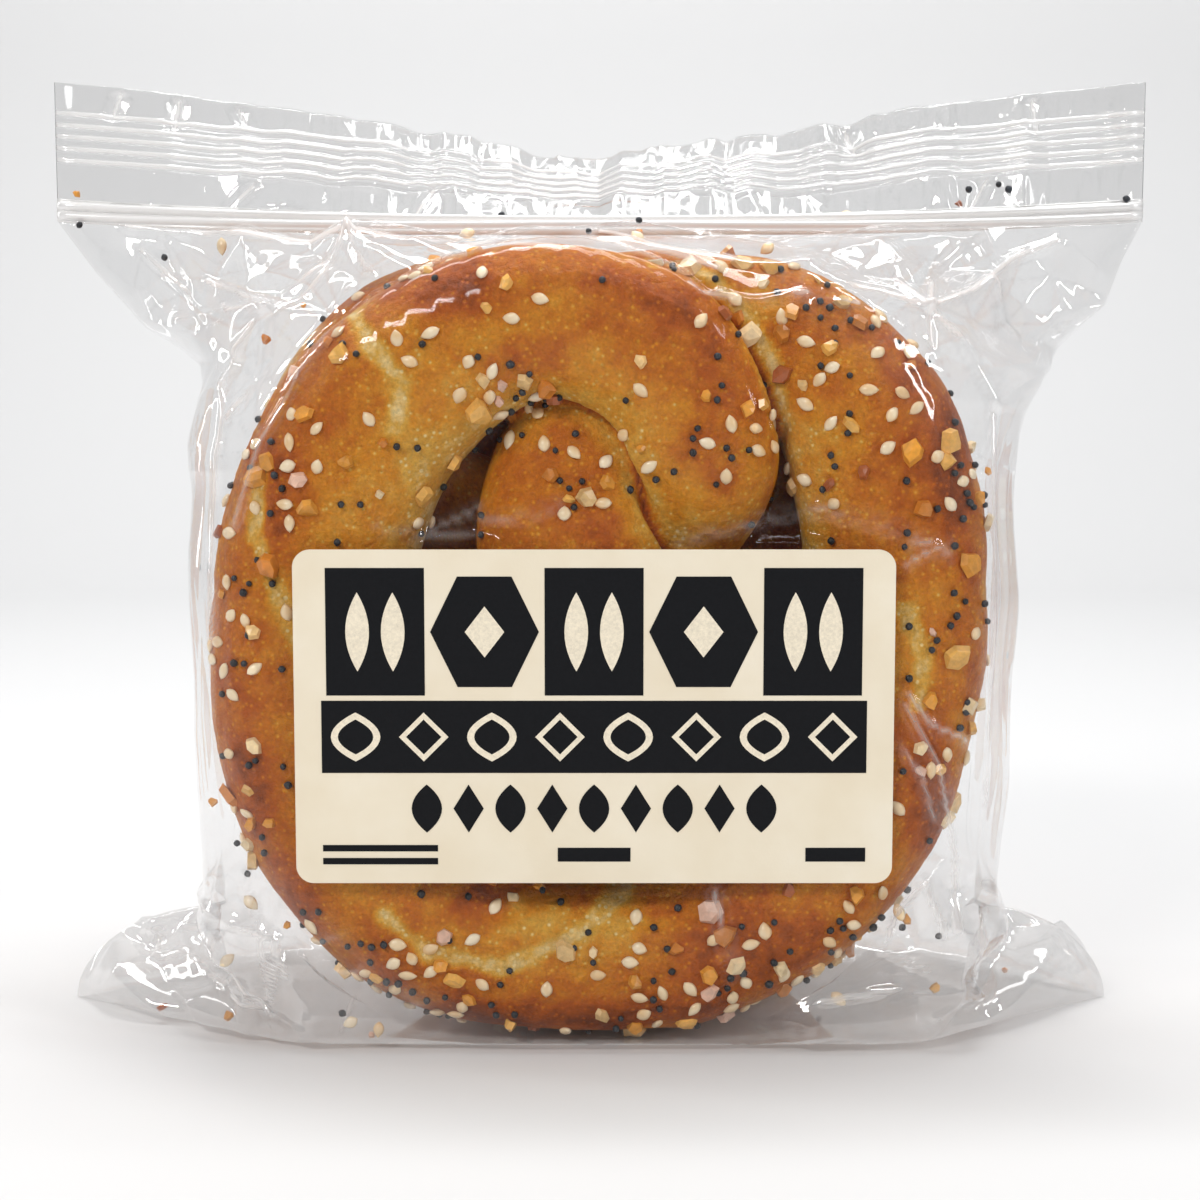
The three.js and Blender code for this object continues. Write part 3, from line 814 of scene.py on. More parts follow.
def fused_mesh(name, points, face_groups, voxel):
    """The tube's overlapping strands fused to one skin of even small faces, its seams softened."""
    rough = bpy.data.objects.new(name + "_rope", fill_mesh(name + "_rope", points, face_groups))
    bpy.context.scene.collection.objects.link(rough)
    remesh = rough.modifiers.new("Fuse", "REMESH")
    remesh.mode = "VOXEL"
    remesh.voxel_size = voxel * MM
    soften = rough.modifiers.new("Soften", "SMOOTH")
    soften.factor = 0.5
    soften.iterations = SOFTENING
    depsgraph = bpy.context.evaluated_depsgraph_get()
    mesh = bpy.data.meshes.new_from_object(rough.evaluated_get(depsgraph))
    mesh.name = name
    bpy.data.objects.remove(rough)
    mesh.polygons.foreach_set("use_smooth", np.ones(len(mesh.polygons), dtype=bool))
    return mesh


def placed_ropes(side):
    """The ropes that one sheet of the bag lies on, thinned out, as (x, y, z, half width, half
    thickness)."""
    placed = []
    for pretzel in PRETZELS:
        _, middle, facing, *_ = pretzel
        if middle * side < 0:
            continue
        rope = pretzel_rope(pretzel)[::3]
        x = rope[:, 0] * -facing
        y = middle + rope[:, 3] * -facing
        thickness = np.minimum(rope[:, 4], OUTER_LIMIT - np.abs(rope[:, 3]))
        placed.append(np.stack([x, y, rope[:, 1], rope[:, 2], thickness], axis=-1))
    return np.vstack(placed)


# ---- The bag's film ----

OUTLINE_STEPS = 720  # of a height's line before it is spaced out
EAR_EASE = 1.3  # how fast an ear's foot narrows towards its ridge
ARM_SAMPLES = 120
# Zones in which the film sinks between strands: between these heights and this far from the middle
SINK_FROM_Z = (2, 14)
SINK_TO_Z = (118, 136)
SINK_TO_X = (50, 64)
ZIP_FOOT = -2.0  # the two sheets end this far above the zip's middle
ZIP_GAP = 0.9  # and this far from it front to back


def rope_front(x, z, samples):
    """How far the front of a pretzel stands from its middle plane: the highest of the strands'
    rounded backs, and zero where there is a hole."""
    across = np.hypot(x[..., None] - samples[:, 0], z[..., None] - samples[:, 1]) / samples[:, 2]
    return STRAND_HALF_DEPTH * np.sqrt(np.clip(1 - across.min(axis=-1) ** 2, 0, 1))


def press_in(x, z, samples):
    """How far the film sinks between the strands."""
    hollow = 1 - rope_front(x, z, samples) / STRAND_HALF_DEPTH
    near_stack = ease(*SINK_FROM_Z, z) * (1 - ease(*SINK_TO_Z, z))
    in_face = 1 - ease(*SINK_TO_X, np.abs(x))
    return PRESS_DEPTH * hollow * near_stack * in_face


def side_half_width(z):
    """Half of the bag's width at a height, in even S-curves between the stations."""
    width = float(SIDE_STATIONS[0][1])
    for (low_z, low_width), (high_z, high_width) in zip(SIDE_STATIONS[:-1], SIDE_STATIONS[1:]):
        if z > low_z:
            width = mix(low_width, high_width, ease(low_z, high_z, z))
    return width


def spaced_points(line, distances):
    """Points at distances along a line of (x, depth) pairs."""
    lengths = np.concatenate([[0], np.cumsum(np.linalg.norm(np.diff(line, axis=0), axis=1))])
    return np.stack([np.interp(distances, lengths, line[:, axis]) for axis in (0, 1)], axis=-1)


def body_line(z, full_depth):
    """One side of the bag at a height, from the right seam to the left: a superellipse in even
    steps, with a straight-sided ear at each seam near the floor."""
    inset = 0.0
    if z < BASE_ROUND:
        inset = BASE_ROUND - np.sqrt(BASE_ROUND ** 2 - (BASE_ROUND - z) ** 2)
    side_x = side_half_width(z)
    angle = np.linspace(0, np.pi, OUTLINE_STEPS + 1)
    x = side_x * np.sign(np.cos(angle)) * np.abs(np.cos(angle)) ** (2 / SIDE_CORNER_POWER)
    depth = (full_depth - inset) * np.abs(np.sin(angle)) ** (2 / SIDE_CORNER_POWER)
    depth[-1] = 0
    outline = np.stack([x, depth], axis=-1)
    total = np.linalg.norm(np.diff(outline, axis=0), axis=1).sum()
    ear_steps = round(EAR_SHARE * FILM_COLUMNS)
    usual = total * ear_steps / FILM_COLUMNS
    if z < EAR_HEIGHT:
        foot = mix(usual, EAR_FOOT_AT_RIDGE, (z / EAR_HEIGHT) ** EAR_EASE)
    else:
        foot = mix(EAR_FOOT_AT_RIDGE, usual, ease(EAR_HEIGHT, EAR_FADE_Z, z))
    middle_steps = FILM_COLUMNS - 2 * ear_steps
    distances = np.concatenate([
        np.linspace(0, foot, ear_steps + 1),
        np.linspace(foot, total - foot, middle_steps + 1)[1:-1],
        np.linspace(total - foot, total, ear_steps + 1),
    ])
    line = spaced_points(outline, distances)
    if z < EAR_HEIGHT:
        ridge = np.sqrt(1 - (z / EAR_HEIGHT) ** 2)
        share = np.linspace(0, 1, ear_steps + 1)[:, None]
        for edge, reach, side in ((line, EAR_REACH_RIGHT, side_x), (line[::-1], -EAR_REACH_LEFT, -side_x)):
            tip = np.array([side + (reach - side) * ridge, 0.0])
            edge[:ear_steps + 1] = mix(tip, edge[ear_steps].copy(), share)
    return line


def round_back(away, radius):
    """Height of a half-round rib at a distance from its crest, as a share of its radius."""
    return np.sqrt(np.clip(1 - (away / radius) ** 2, 0, 1))


def zip_height(x):
    """How high the zip's middle runs: lowest in the middle of the bag, on a power curve."""
    return ZIP_END_Z - ZIP_SAG * (1 - np.abs(x / HEADER_HALF_WIDTH) ** ZIP_SAG_POWER)


def header_lean(x):
    """How far the header leans back: most in the middle, and not at all at the side seams."""
    from_middle = np.hypot(x, HEADER_BEND_RADIUS) - HEADER_BEND_RADIUS
    to_seam = np.hypot(HEADER_HALF_WIDTH, HEADER_BEND_RADIUS) - HEADER_BEND_RADIUS
    return HEADER_LEAN * (1 - from_middle / to_seam)


def header_points(x, rise, offset):
    """Points of the header: along its width, above the zip, and to one side of its middle."""
    lean = header_lean(x)
    y = rise * np.sin(lean) + offset * np.cos(lean)
    z = zip_height(x) + rise * np.cos(lean) - offset * np.sin(lean)
    return np.stack([x + 0 * y, y, z], axis=-1)


def closing_rows(shoulder, zip_line, side, samples):
    """From the shoulder to the zip the film runs straight at the sides, and bulges over the
    pretzels' tops in the middle, on a quarter of a superellipse."""
    angle = (np.pi / 2 * np.linspace(0, 1, FILM_CLOSING_ROWS + 1)[1:])[:, None]
    middle = 1 - np.minimum(1, (shoulder[:, 0] / SHOULDER_HALF_WIDTH) ** 2)[None, :]
    power = 2 / (1 + TOP_FULLNESS * middle)
    up = np.sin(angle) ** power
    out = np.maximum(np.cos(angle), 0) ** power
    flare = np.clip((up - FLARE_START) / (1 - FLARE_START), 0, 1)
    x = mix(shoulder[None, :, 0], zip_line[None, :, 0], flare)
    y = mix(zip_line[None, :, 1], shoulder[None, :, 1], out)
    z = mix(shoulder[None, :, 2], zip_line[None, :, 2], up)
    in_face = ease(0, STRAND_HALF_DEPTH, np.abs(shoulder[None, :, 1]))
    y = y - side * press_in(-x * side, z, samples) * out * in_face
    return np.stack([x, y, z], axis=-1)


def smooth_sheet(side):
    """One sheet of the bag before it is crumpled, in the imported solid's own form: a grid of rows
    from the middle of the floor, round the bottom edge, up to the shoulder and on to the zip."""
    samples = np.vstack([smooth_curve(arm, ARM_SAMPLES) for arm in (LEFT_ARM, RIGHT_ARM)])
    full_depth = FRONT_DEPTH if side < 0 else BACK_DEPTH
    levels = SHOULDER_Z * np.linspace(0, 1, FILM_LEVELS) ** LEVEL_POWER
    lines = np.array([body_line(z, full_depth) for z in levels])
    x, depth = lines[..., 0], lines[..., 1]
    height = np.broadcast_to(levels[:, None], x.shape)
    sink = press_in(x * -side, height, samples) * ease(0, STRAND_HALF_DEPTH, depth)
    body = np.stack([x, side * (depth - sink), height], axis=-1)
    shoulder = np.stack([x[-1], side * depth[-1], height[-1]], axis=-1)
    across = np.linspace(HEADER_HALF_WIDTH, -HEADER_HALF_WIDTH, FILM_COLUMNS + 1)
    gap = np.full_like(across, ZIP_GAP)
    gap[[0, -1]] = 0
    top = closing_rows(shoulder, header_points(across, ZIP_FOOT, side * gap), side, samples)
    share = np.linspace(0, 1, FILM_BASE_ROWS + 1)[:-1][:, None]
    base = np.stack([x[:1] + 0 * share, body[:1, :, 1] * share, 0 * x[:1] * share], axis=-1)
    grid = np.concatenate([base, body, top])
    return grid[:, ::-1] if side < 0 else grid


# How far the bag's welded edges stand out beside their smooth line, at heights: left and right
SEAM_SHIFTS = {
    -1: [(100, 0), (112, -1.5), (118, -3.5), (124, 0.8), (134, 1.2), (143, 0)],
    1: [(100, 0), (110, 1.5), (117, 6.0), (121, 4.6), (128, 6.5), (136, 2.5), (143, 0)],
}
SEAM_FADE = 18  # how far into the sheet that reaches


def bend_seams(grid):
    """Moves the sheet's two side edges out by their shifts, fading into the sheet."""
    for edge, shifts in SEAM_SHIFTS.items():
        heights, reaches = np.array(shifts, dtype=float).T
        seam_x = grid[:, [0, -1], 0] * edge
        near = 1 - ease(0, SEAM_FADE, seam_x.max(axis=1)[:, None] - grid[..., 0] * edge)
        grid[..., 0] += edge * near * np.interp(grid[..., 2], heights, reaches)
    return grid


def grid_normals(grid):
    """Outward directions on a sheet, from the steps along its rows and between them."""
    return unit(np.cross(np.gradient(grid, axis=1), np.gradient(grid, axis=0)))


PUSHES = 3


def push_off_dough(grid, normals, ropes):
    """Moves film that lies in the dough outwards until it clears it."""
    points = grid.reshape(-1, 3)
    outward = normals.reshape(-1, 3)
    width = ropes[:, 3] + FILM_CLEARANCE
    thick = ropes[:, 4] + FILM_CLEARANCE
    for start in range(0, len(points), BATCH):
        part = points[start:start + BATCH]
        for _ in range(PUSHES):
            flat = np.hypot(part[:, None, 0] - ropes[:, 0], part[:, None, 2] - ropes[:, 2]) / width
            deep = np.abs(part[:, None, 1] - ropes[:, 1]) / thick
            reach = (flat ** SECTION_POWER + deep ** SECTION_POWER) ** (1 / SECTION_POWER)
            sunk = np.clip(1 - reach.min(axis=1), 0, None)
            part += outward[start:start + BATCH] * (sunk * STRAND_HALF_DEPTH)[:, None]
    return points.reshape(grid.shape)


# Where creases meet in the film's front, and how far they stand out: column and row of the
# photograph, and millimetres
FILM_KNOTS = [
    (343, 237, 2.0), (272, 313, 2.2), (173, 291, -1.4), (282, 286, -1.8), (366, 275, -1.2),
    (188, 281, 1.0), (256, 295, 0.6), (240, 389, 1.4), (266, 374, -1.0), (151, 232, 0.8),
    (240, 238, 0.6), (310, 246, -1.2), (205, 330, 0.2), (215, 262, -1.0), (130, 262, 1.0),
    (1000, 286, 2.4), (927, 312, 2.0), (896, 265, 1.2), (948, 349, 1.8), (994, 408, 1.2),
    (781, 238, -1.0), (807, 256, 1.0), (829, 249, -0.8), (859, 267, -1.3), (881, 241, 1.3),
    (914, 282, -0.8), (955, 262, -1.6), (977, 245, 1.4), (1037, 252, 1.0), (1018, 315, -1.6),
    (1060, 275, -0.8), (1036, 336, -1.0), (1000, 367, 0.8), (1085, 245, 0.9), (990, 330, -0.6),
    (195, 904, 1.8), (132, 940, 1.8), (126, 984, 2.4), (137, 954, -1.6), (239, 916, 2.0),
    (274, 1009, -2.6), (275, 933, 1.4), (264, 1025, 1.0), (224, 962, -1.6), (206, 991, 1.8),
    (254, 1000, 0.8), (337, 1042, 1.0), (352, 1027, -0.8), (304, 1038, -0.7), (177, 925, -1.0),
    (159, 980, -1.2), (326, 980, 0.8), (970, 991, -2.4), (955, 932, 2.2), (1012, 896, 2.2),
    (1005, 952, -1.8), (1075, 944, 1.2), (984, 1002, 1.0), (924, 874, 1.6), (950, 960, 1.2),
    (888, 973, 1.2), (848, 1002, 0.7), (913, 1012, 0.6), (874, 927, -1.0), (1043, 970, 1.4),
    (965, 944, -1.2), (1060, 915, -0.8), (215, 420, 1.0), (208, 446, 1.8), (222, 500, -1.0),
    (212, 560, 0.9), (224, 640, -0.9), (214, 720, 1.0), (226, 800, -0.8), (220, 870, 1.1),
    (985, 450, 1.1), (975, 520, -0.9), (990, 600, 0.9), (975, 680, -1.0), (985, 760, 1.1),
    (970, 840, -0.9),
]
KNOT_DEPTH = -14.0  # the film's mean place front to back, where those show
KNOT_SPACING = 10.5  # between the other knots
KNOT_JITTER = 0.42  # of that, how far they are moved
KNOT_GAP = 7.0  # how near they come to the photograph's
KNOT_LIFT = 1.3  # how far they stand out or in at most
# A frame of knots round the sheet, of which those inside these limits are left out
FRAME_X = [-125, -60, 0, 60, 125]
FRAME_Z = [-25, 60, 175]
FRAME_INSIDE_X = 100
FRAME_INSIDE_Z = (0, 150)

# Long single creases: half width and height, how strong the painted highlight along their fold
# is, and their line in the photograph
FILM_CREASES = [
    (1.7, 0.8, 0.45, [(96, 222), (151, 231), (240, 237), (338, 236)]),
    (1.4, 0.7, 0.50, [(343, 237), (400, 243), (470, 256), (560, 266)]),
    (1.4, 0.8, 0.50, [(600, 236), (674, 252), (807, 267), (881, 289), (927, 312)]),
    (1.0, 0.5, 0.45, [(689, 286), (700, 293), (759, 302), (807, 295)]),
    (1.5, 0.7, 0.30, [(815, 505), (870, 518), (930, 542)]),
    (1.5, 0.8, 0.45, [(714, 885), (722, 925), (733, 968)]),
    (1.3, 0.7, 0.30, [(902, 700), (935, 760), (952, 850), (948, 958)]),
    (1.2, 0.6, 0.40, [(905, 690), (928, 720), (962, 735)]),
    (1.2, 0.5, 0.15, [(677, 539), (700, 530), (760, 520), (815, 505)]),
    (1.2, 0.6, 0.16, [(350, 300), (300, 370), (262, 440), (238, 520)]),
    (1.2, 0.6, 0.20, [(250, 870), (262, 930), (274, 1009)]),
    (1.2, 0.5, 0.40, [(411, 242), (502, 239), (594, 244), (649, 251), (686, 259), (717, 268)]),
    (1.0, 0.4, 0.30, [(717, 291), (747, 303), (793, 293), (860, 302)]),
    (1.0, 0.4, 0.20, [(380, 524), (417, 531), (481, 536)]),
    (1.0, 0.4, 0.13, [(411, 539), (460, 515), (481, 505)]),
    (1.0, 0.4, 0.20, [(481, 518), (533, 512), (560, 500)]),
    (1.0, 0.5, 0.35, [(896, 541), (925, 540), (948, 552)]),
    (1.0, 0.5, 0.30, [(902, 560), (925, 548), (948, 541)]),
    (1.0, 0.5, 0.26, [(898, 742), (918, 770), (930, 812)]),
    (1.0, 0.5, 0.24, [(233, 350), (226, 420), (214, 500), (212, 640)]),
    (1.2, 0.8, 0.40, [(341, 238), (277, 289)]),
    (1.2, 0.6, 0.40, [(341, 238), (362, 267), (372, 272)]),
    (1.2, 0.6, 0.36, [(341, 238), (300, 290), (269, 315)]),
    (1.4, 0.8, 0.44, [(269, 315), (228, 293), (188, 280)]),
    (1.4, 0.8, 0.34, [(269, 315), (215, 312), (160, 321)]),
    (1.2, 0.6, 0.40, [(173, 297), (146, 276), (114, 249)]),
    (1.2, 0.6, 0.30, [(269, 315), (231, 352), (225, 393)]),
    (1.2, 0.6, 0.30, [(269, 315), (262, 367), (232, 419)]),
    (1.2, 0.6, 0.30, [(347, 286), (318, 330), (277, 378)]),
    (1.2, 0.7, 0.40, [(927, 312), (948, 262), (1000, 236)]),
    (1.4, 0.8, 0.44, [(927, 312), (975, 296), (1030, 262), (1085, 240)]),
    (1.2, 0.6, 0.34, [(927, 312), (960, 345), (994, 408)]),
    (1.2, 0.6, 0.36, [(1000, 286), (1018, 315), (1036, 336)]),
    (1.2, 0.6, 0.30, [(896, 265), (927, 312), (930, 352)]),
    (1.4, 0.9, 0.44, [(969, 990), (955, 931), (950, 900)]),
    (1.4, 0.9, 0.40, [(969, 990), (990, 945), (1012, 896)]),
    (1.2, 0.7, 0.34, [(969, 990), (1004, 950), (1027, 940), (1075, 963), (1100, 985)]),
    (1.2, 0.7, 0.34, [(969, 990), (925, 966), (880, 947)]),
    (1.2, 0.7, 0.30, [(969, 990), (900, 985), (815, 997)]),
    (1.2, 0.7, 0.30, [(969, 990), (932, 1012)]),
    (1.2, 0.7, 0.36, [(922, 874), (938, 915), (950, 960)]),
    (1.2, 0.6, 0.30, [(885, 944), (897, 901), (922, 874)]),
    (1.2, 0.8, 0.40, [(195, 904), (132, 940), (126, 984)]),
    (1.2, 0.8, 0.40, [(195, 904), (239, 916), (275, 933), (274, 1009)]),
    (1.2, 0.7, 0.34, [(137, 954), (224, 962), (274, 1009)]),
    (1.2, 0.7, 0.34, [(206, 991), (254, 1000), (337, 1042)]),
    (1.2, 0.7, 0.30, [(126, 984), (160, 975), (206, 991)]),
    (1.2, 0.7, 0.30, [(239, 916), (224, 962)]),
    (1.2, 0.7, 0.30, [(275, 933), (290, 985), (304, 1038)]),
    (1.0, 0.5, 0.24, [(988, 400), (992, 520), (990, 660), (980, 800)]),
]


def crease_net(places, knots, lifts):
    """Flat triangles between knots, as in a crumpled sheet that was pulled straight: each place's
    lift lies on the plane through the three knots round it."""
    corners, _, triangles, sources, *_ = delaunay_2d_cdt([Vector(knot) for knot in knots], [], [], 0, 1e-6)
    corners = np.array([tuple(corner) for corner in corners])
    heights = np.array([lifts[source[0]] for source in sources])
    total = np.zeros(places.shape[:-1])
    for triangle in triangles:
        a, b, c = corners[triangle]
        first, second = b - a, c - a
        away = places - a
        area = first[0] * second[1] - first[1] * second[0]
        to_b = (away[..., 0] * second[1] - away[..., 1] * second[0]) / area
        to_c = (first[0] * away[..., 1] - first[1] * away[..., 0]) / area
        inside = (to_b >= 0) & (to_c >= 0) & (to_b + to_c <= 1)
        low, up_b, up_c = heights[triangle[0]], heights[triangle[1]], heights[triangle[2]]
        total[inside] = (low + to_b * (up_b - low) + to_c * (up_c - low))[inside]
    return total


def film_knots(rng):
    """The photograph's knots, random ones between them and a still frame all round, as places, and
    how far each stands out."""
    given = np.array(FILM_KNOTS, dtype=float)
    seen = photo_place(given[:, :2], KNOT_DEPTH)
    x, z = np.meshgrid(np.arange(-96, 97, KNOT_SPACING), np.arange(1, 148, KNOT_SPACING))
    other = np.stack([x.ravel(), z.ravel()], axis=-1)
    other = other + rng.uniform(-KNOT_JITTER, KNOT_JITTER, other.shape) * KNOT_SPACING
    apart = np.linalg.norm(other[:, None] - seen[None], axis=-1).min(axis=1)
    other = other[apart > KNOT_GAP]
    x, z = (axis.ravel() for axis in np.meshgrid(FRAME_X, FRAME_Z))
    low, high = FRAME_INSIDE_Z
    edge = np.stack([x, z], axis=-1)[(np.abs(x) > FRAME_INSIDE_X) | (z < low) | (z > high)]
    random_lifts = rng.uniform(-KNOT_LIFT, KNOT_LIFT, len(other))
    lifts = np.concatenate([given[:, 2], random_lifts, np.zeros(len(edge))])
    return np.vstack([seen, other, edge]), lifts


STACK_HALF_WIDTH = 66  # of the pretzels' oval outline
STACK_HALF_HEIGHT = 69
STACK_EDGE = (0.92, 1.06)  # where the film leaves the dough, as shares of that oval


def slack(points):
    """Where the film hangs free of the dough: 0 inside the pretzels' oval outline and 1 outside."""
    oval = np.hypot(points[..., 0] / STACK_HALF_WIDTH,
                    (points[..., 2] - PRETZEL_MIDDLE_Z) / STACK_HALF_HEIGHT)
    return ease(*STACK_EDGE, oval)


CREASE_BENDS = (0.05, 0.24)  # change of slope over one step, of a soft and of a full crease


def sharpness(height):
    """How sharply a grid of heights is creased: the change of its steps along and across."""
    along = np.zeros_like(height)
    across = np.zeros_like(height)
    along[:, 1:-1] = np.diff(height, 2, axis=1)
    across[1:-1] = np.diff(height, 2, axis=0)
    return ease(*CREASE_BENDS, np.abs(along) + np.abs(across))


def label_box():
    """The label's corners in millimetres."""
    low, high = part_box("label")
    return np.array(low) / MM, np.array(high) / MM


def label_cover(points, low, high):
    """1 on the film behind the label and 0 away from it."""
    cover = points[..., 1] < LABEL_SIDE_Y
    for axis in (0, 2):
        value = points[..., axis]
        cover = cover * ease(low[axis] - LABEL_MARGIN, low[axis], value)
        cover = cover * (1 - ease(high[axis], high[axis] + LABEL_MARGIN, value))
    return cover


# Zones of the crumpled sheet, each fading in or out between two places: the ears at the floor, the
# bag's sides, and the foot beside the pretzels
EARS_FROM_X, EARS_TO_Z = (66, 74), (18, 26)
FLANK_FROM_X, FLANK_FROM_Z, FLANK_TO_Z = (52, 64), (20, 32), (96, 112)
FOOT_FROM_X, FOOT_TO_Z = (20, 40), (14, 26)
# Height, size and stretch of the sides' long facets, and of the two layers of small ones
FLANK_FACETS = (0.9, 8.0, (1, 1, 7))
FINE_FACETS = [(0.75, 10.0, (1, 1, 1.7)), (0.24, 4.6, (1, 1, 1.5))]
CLINGING_NET = 0.08  # how much of the net of creases is left on the dough
CLINGING_FACETS = 0.09  # and of the facets
SEAM_STILL = 4.5  # beside the side seams the sheet stays smooth
# a fold line is a painted highlight, white along the fold
FOLD_GLINT_WIDTHS = (0.12, 0.62)  # half widths of a milky fold line, full and fading
BREAK_SIZE = 9.0  # of the stretches in which it shows


def film_sheet(side, seed):
    """One crumpled sheet of the bag, and at each point how creased, how strong the painted highlight
    along a single fold is and how free it is: the smooth sheet moved along its normals by the net of
    creases and by ever finer facets, most where it hangs free, long and upright on the sides, not at
    all at its seams, and then clear of the dough and flat behind the label."""
    rng = np.random.default_rng(seed)
    grid = bend_seams(smooth_sheet(side))
    normals = grid_normals(grid)
    rows = np.arange(len(grid))[:, None]
    along = np.cumsum(np.linalg.norm(np.diff(grid, axis=1, prepend=grid[:, :1]), axis=-1), axis=1)
    off_seams = ease(0, SEAM_STILL, np.minimum(along, along[:, -1:] - along))
    off_ends = ease(FILM_BASE_ROWS, FILM_BASE_ROWS + 5, rows)
    off_ends = off_ends * (1 - ease(len(grid) - 9, len(grid) - 2, rows))
    free = slack(grid)
    low, high = label_box()
    cover = label_cover(grid, low, high)
    face = np.stack([grid[..., 0] * -side, grid[..., 2]], axis=-1)
    across, up = np.abs(grid[..., 0]), grid[..., 2]
    ears = ease(*EARS_FROM_X, across) * (1 - ease(*EARS_TO_Z, up))
    flank = ease(*FLANK_FROM_X, across) * ease(*FLANK_FROM_Z, up)
    flank = flank * (1 - ease(*FLANK_TO_Z, up))
    foot = ease(*FOOT_FROM_X, across) * (1 - ease(*FOOT_TO_Z, up))
    shift = crease_net(face, *film_knots(rng)) * mix(CLINGING_NET, 1.0 + 0.4 * ears + 0.3 * foot, free)
    shift *= 1 - 0.7 * flank
    height, size, stretch = FLANK_FACETS
    shift += height * flank * facets(grid, size, seed + 4, stretch)
    fine = sum(height * facets(grid, size, seed + layer, stretch)
               for layer, (height, size, stretch) in enumerate(FINE_FACETS, 1))
    shift += fine * mix(CLINGING_FACETS, 1.0 - 0.45 * foot, free) * (1 - 0.6 * flank)
    painted_fold_glint = np.zeros_like(shift)
    if side < 0:
        for half_width, height, milky, pixels in FILM_CREASES:
            away = line_distance(face.reshape(-1, 2), photo_place(pixels, -30.0)).reshape(shift.shape)
            shift += height * np.maximum(0, 1 - away / half_width)
            # painted highlight: a white line along each fold, as strong as its milky value
            painted_fold_glint = np.maximum(painted_fold_glint, milky * (1 - ease(*FOLD_GLINT_WIDTHS, away)))
    shift *= off_seams * off_ends * (1 - cover)
    crease = sharpness(shift)
    grid = push_off_dough(grid + normals * shift[..., None], normals, placed_ropes(side))
    if side < 0:
        nearest, farthest = (high[1] + backing for backing in LABEL_BACKING)
        grid[..., 1] = mix(grid[..., 1], np.clip(grid[..., 1], nearest, farthest), cover)
    grid[..., 2] = np.maximum(grid[..., 2], 0.0)
    broken = ease(-0.6, 0.3, layered_noise(grid, BREAK_SIZE, seed + 6, 2))
    painted_fold_glint = painted_fold_glint * broken * (1 - cover)
    return grid, crease, painted_fold_glint, free


def film_finish(mesh, crease, painted_fold_glint, free, haze):
    """What share of light the film mirrors head-on and scatters milky white at each point: more on
    creases, and least where it clings to buttery dough. The scattering is its haze together with
    painted highlights on creases, along the fold lines and on the foot."""
    # where the foot's painted highlight reaches
    foot = 1 - ease(*FOOT_GLINT_Z, mesh_points(mesh)[:, 2].reshape(free.shape))
    mirror = mix(CLINGING_MIRROR, FREE_MIRROR, free) + CREASE_MIRROR * crease * mix(0.25, 1.0, free)
    # its haze, and a painted highlight, white on every crease
    milk_and_painted_glints = haze * mix(0.4, 1.6, free) + CREASE_PAINTED_GLINT * crease * mix(0.3, 1.0, free)
    # painted highlights along the fold lines and on the foot
    milk_and_painted_glints += painted_fold_glint * mix(1.0, 2.0, free) + FOOT_PAINTED_GLINT * foot * free
    set_attribute(mesh, "mirror", mirror.ravel())
    set_attribute(mesh, "milk_and_painted_glints", milk_and_painted_glints.ravel())


def header_rises():
    """Heights of the header film's rows above the zip, close together on the grip ribs."""
    ribs = [rib + GRIP_RIB_HALF_WIDTH * share for rib in GRIP_RIB_HEIGHTS for share in (-1, -0.5, 0, 0.5, 1)]
    plain = np.concatenate([np.arange(*stretch, HEADER_ROW) for stretch in PLAIN_STRETCHES])
    between = [(low + high) / 2 for low, high in zip(GRIP_RIB_HEIGHTS[:-1], GRIP_RIB_HEIGHTS[1:])]
    return np.sort(np.concatenate([ribs, plain, between, [HEADER_HEIGHT]]))


HEADER_COLUMNS = 440
# Single folds of the header: x at its foot and at its top, and the heights it runs between
HEADER_FOLDS = [(-88, -86, 16, 22), (-77, -76, 15, 22), (-64, -66, 17.5, 22), (-68, -62, 0.5, 7.5),
                (-34, -30, 0.5, 9), (47, 45, 15, 22), (66, 70, 0.5, 8), (79, 78, 14, 22)]
HEADER_FOLD_HEIGHT = 0.9
HEADER_FOLD_WIDTH = 2.2  # half of it
# The header is crumpled most between these two stretches
BUSY_FROM_X = (-74, -34)
BUSY_TO_X = (55, 90)
# Height, size, seed and stretch of the facets that both of its sheets share, and of each one's own
HEADER_FACETS = [(1.6, 15.0, 701, (1, 1, 1.6)), (1.35, 6.5, 711, (0.8, 1, 1.6))]
HEADER_OWN_FACETS = (0.62, 3.4, (0.9, 1, 1.6))


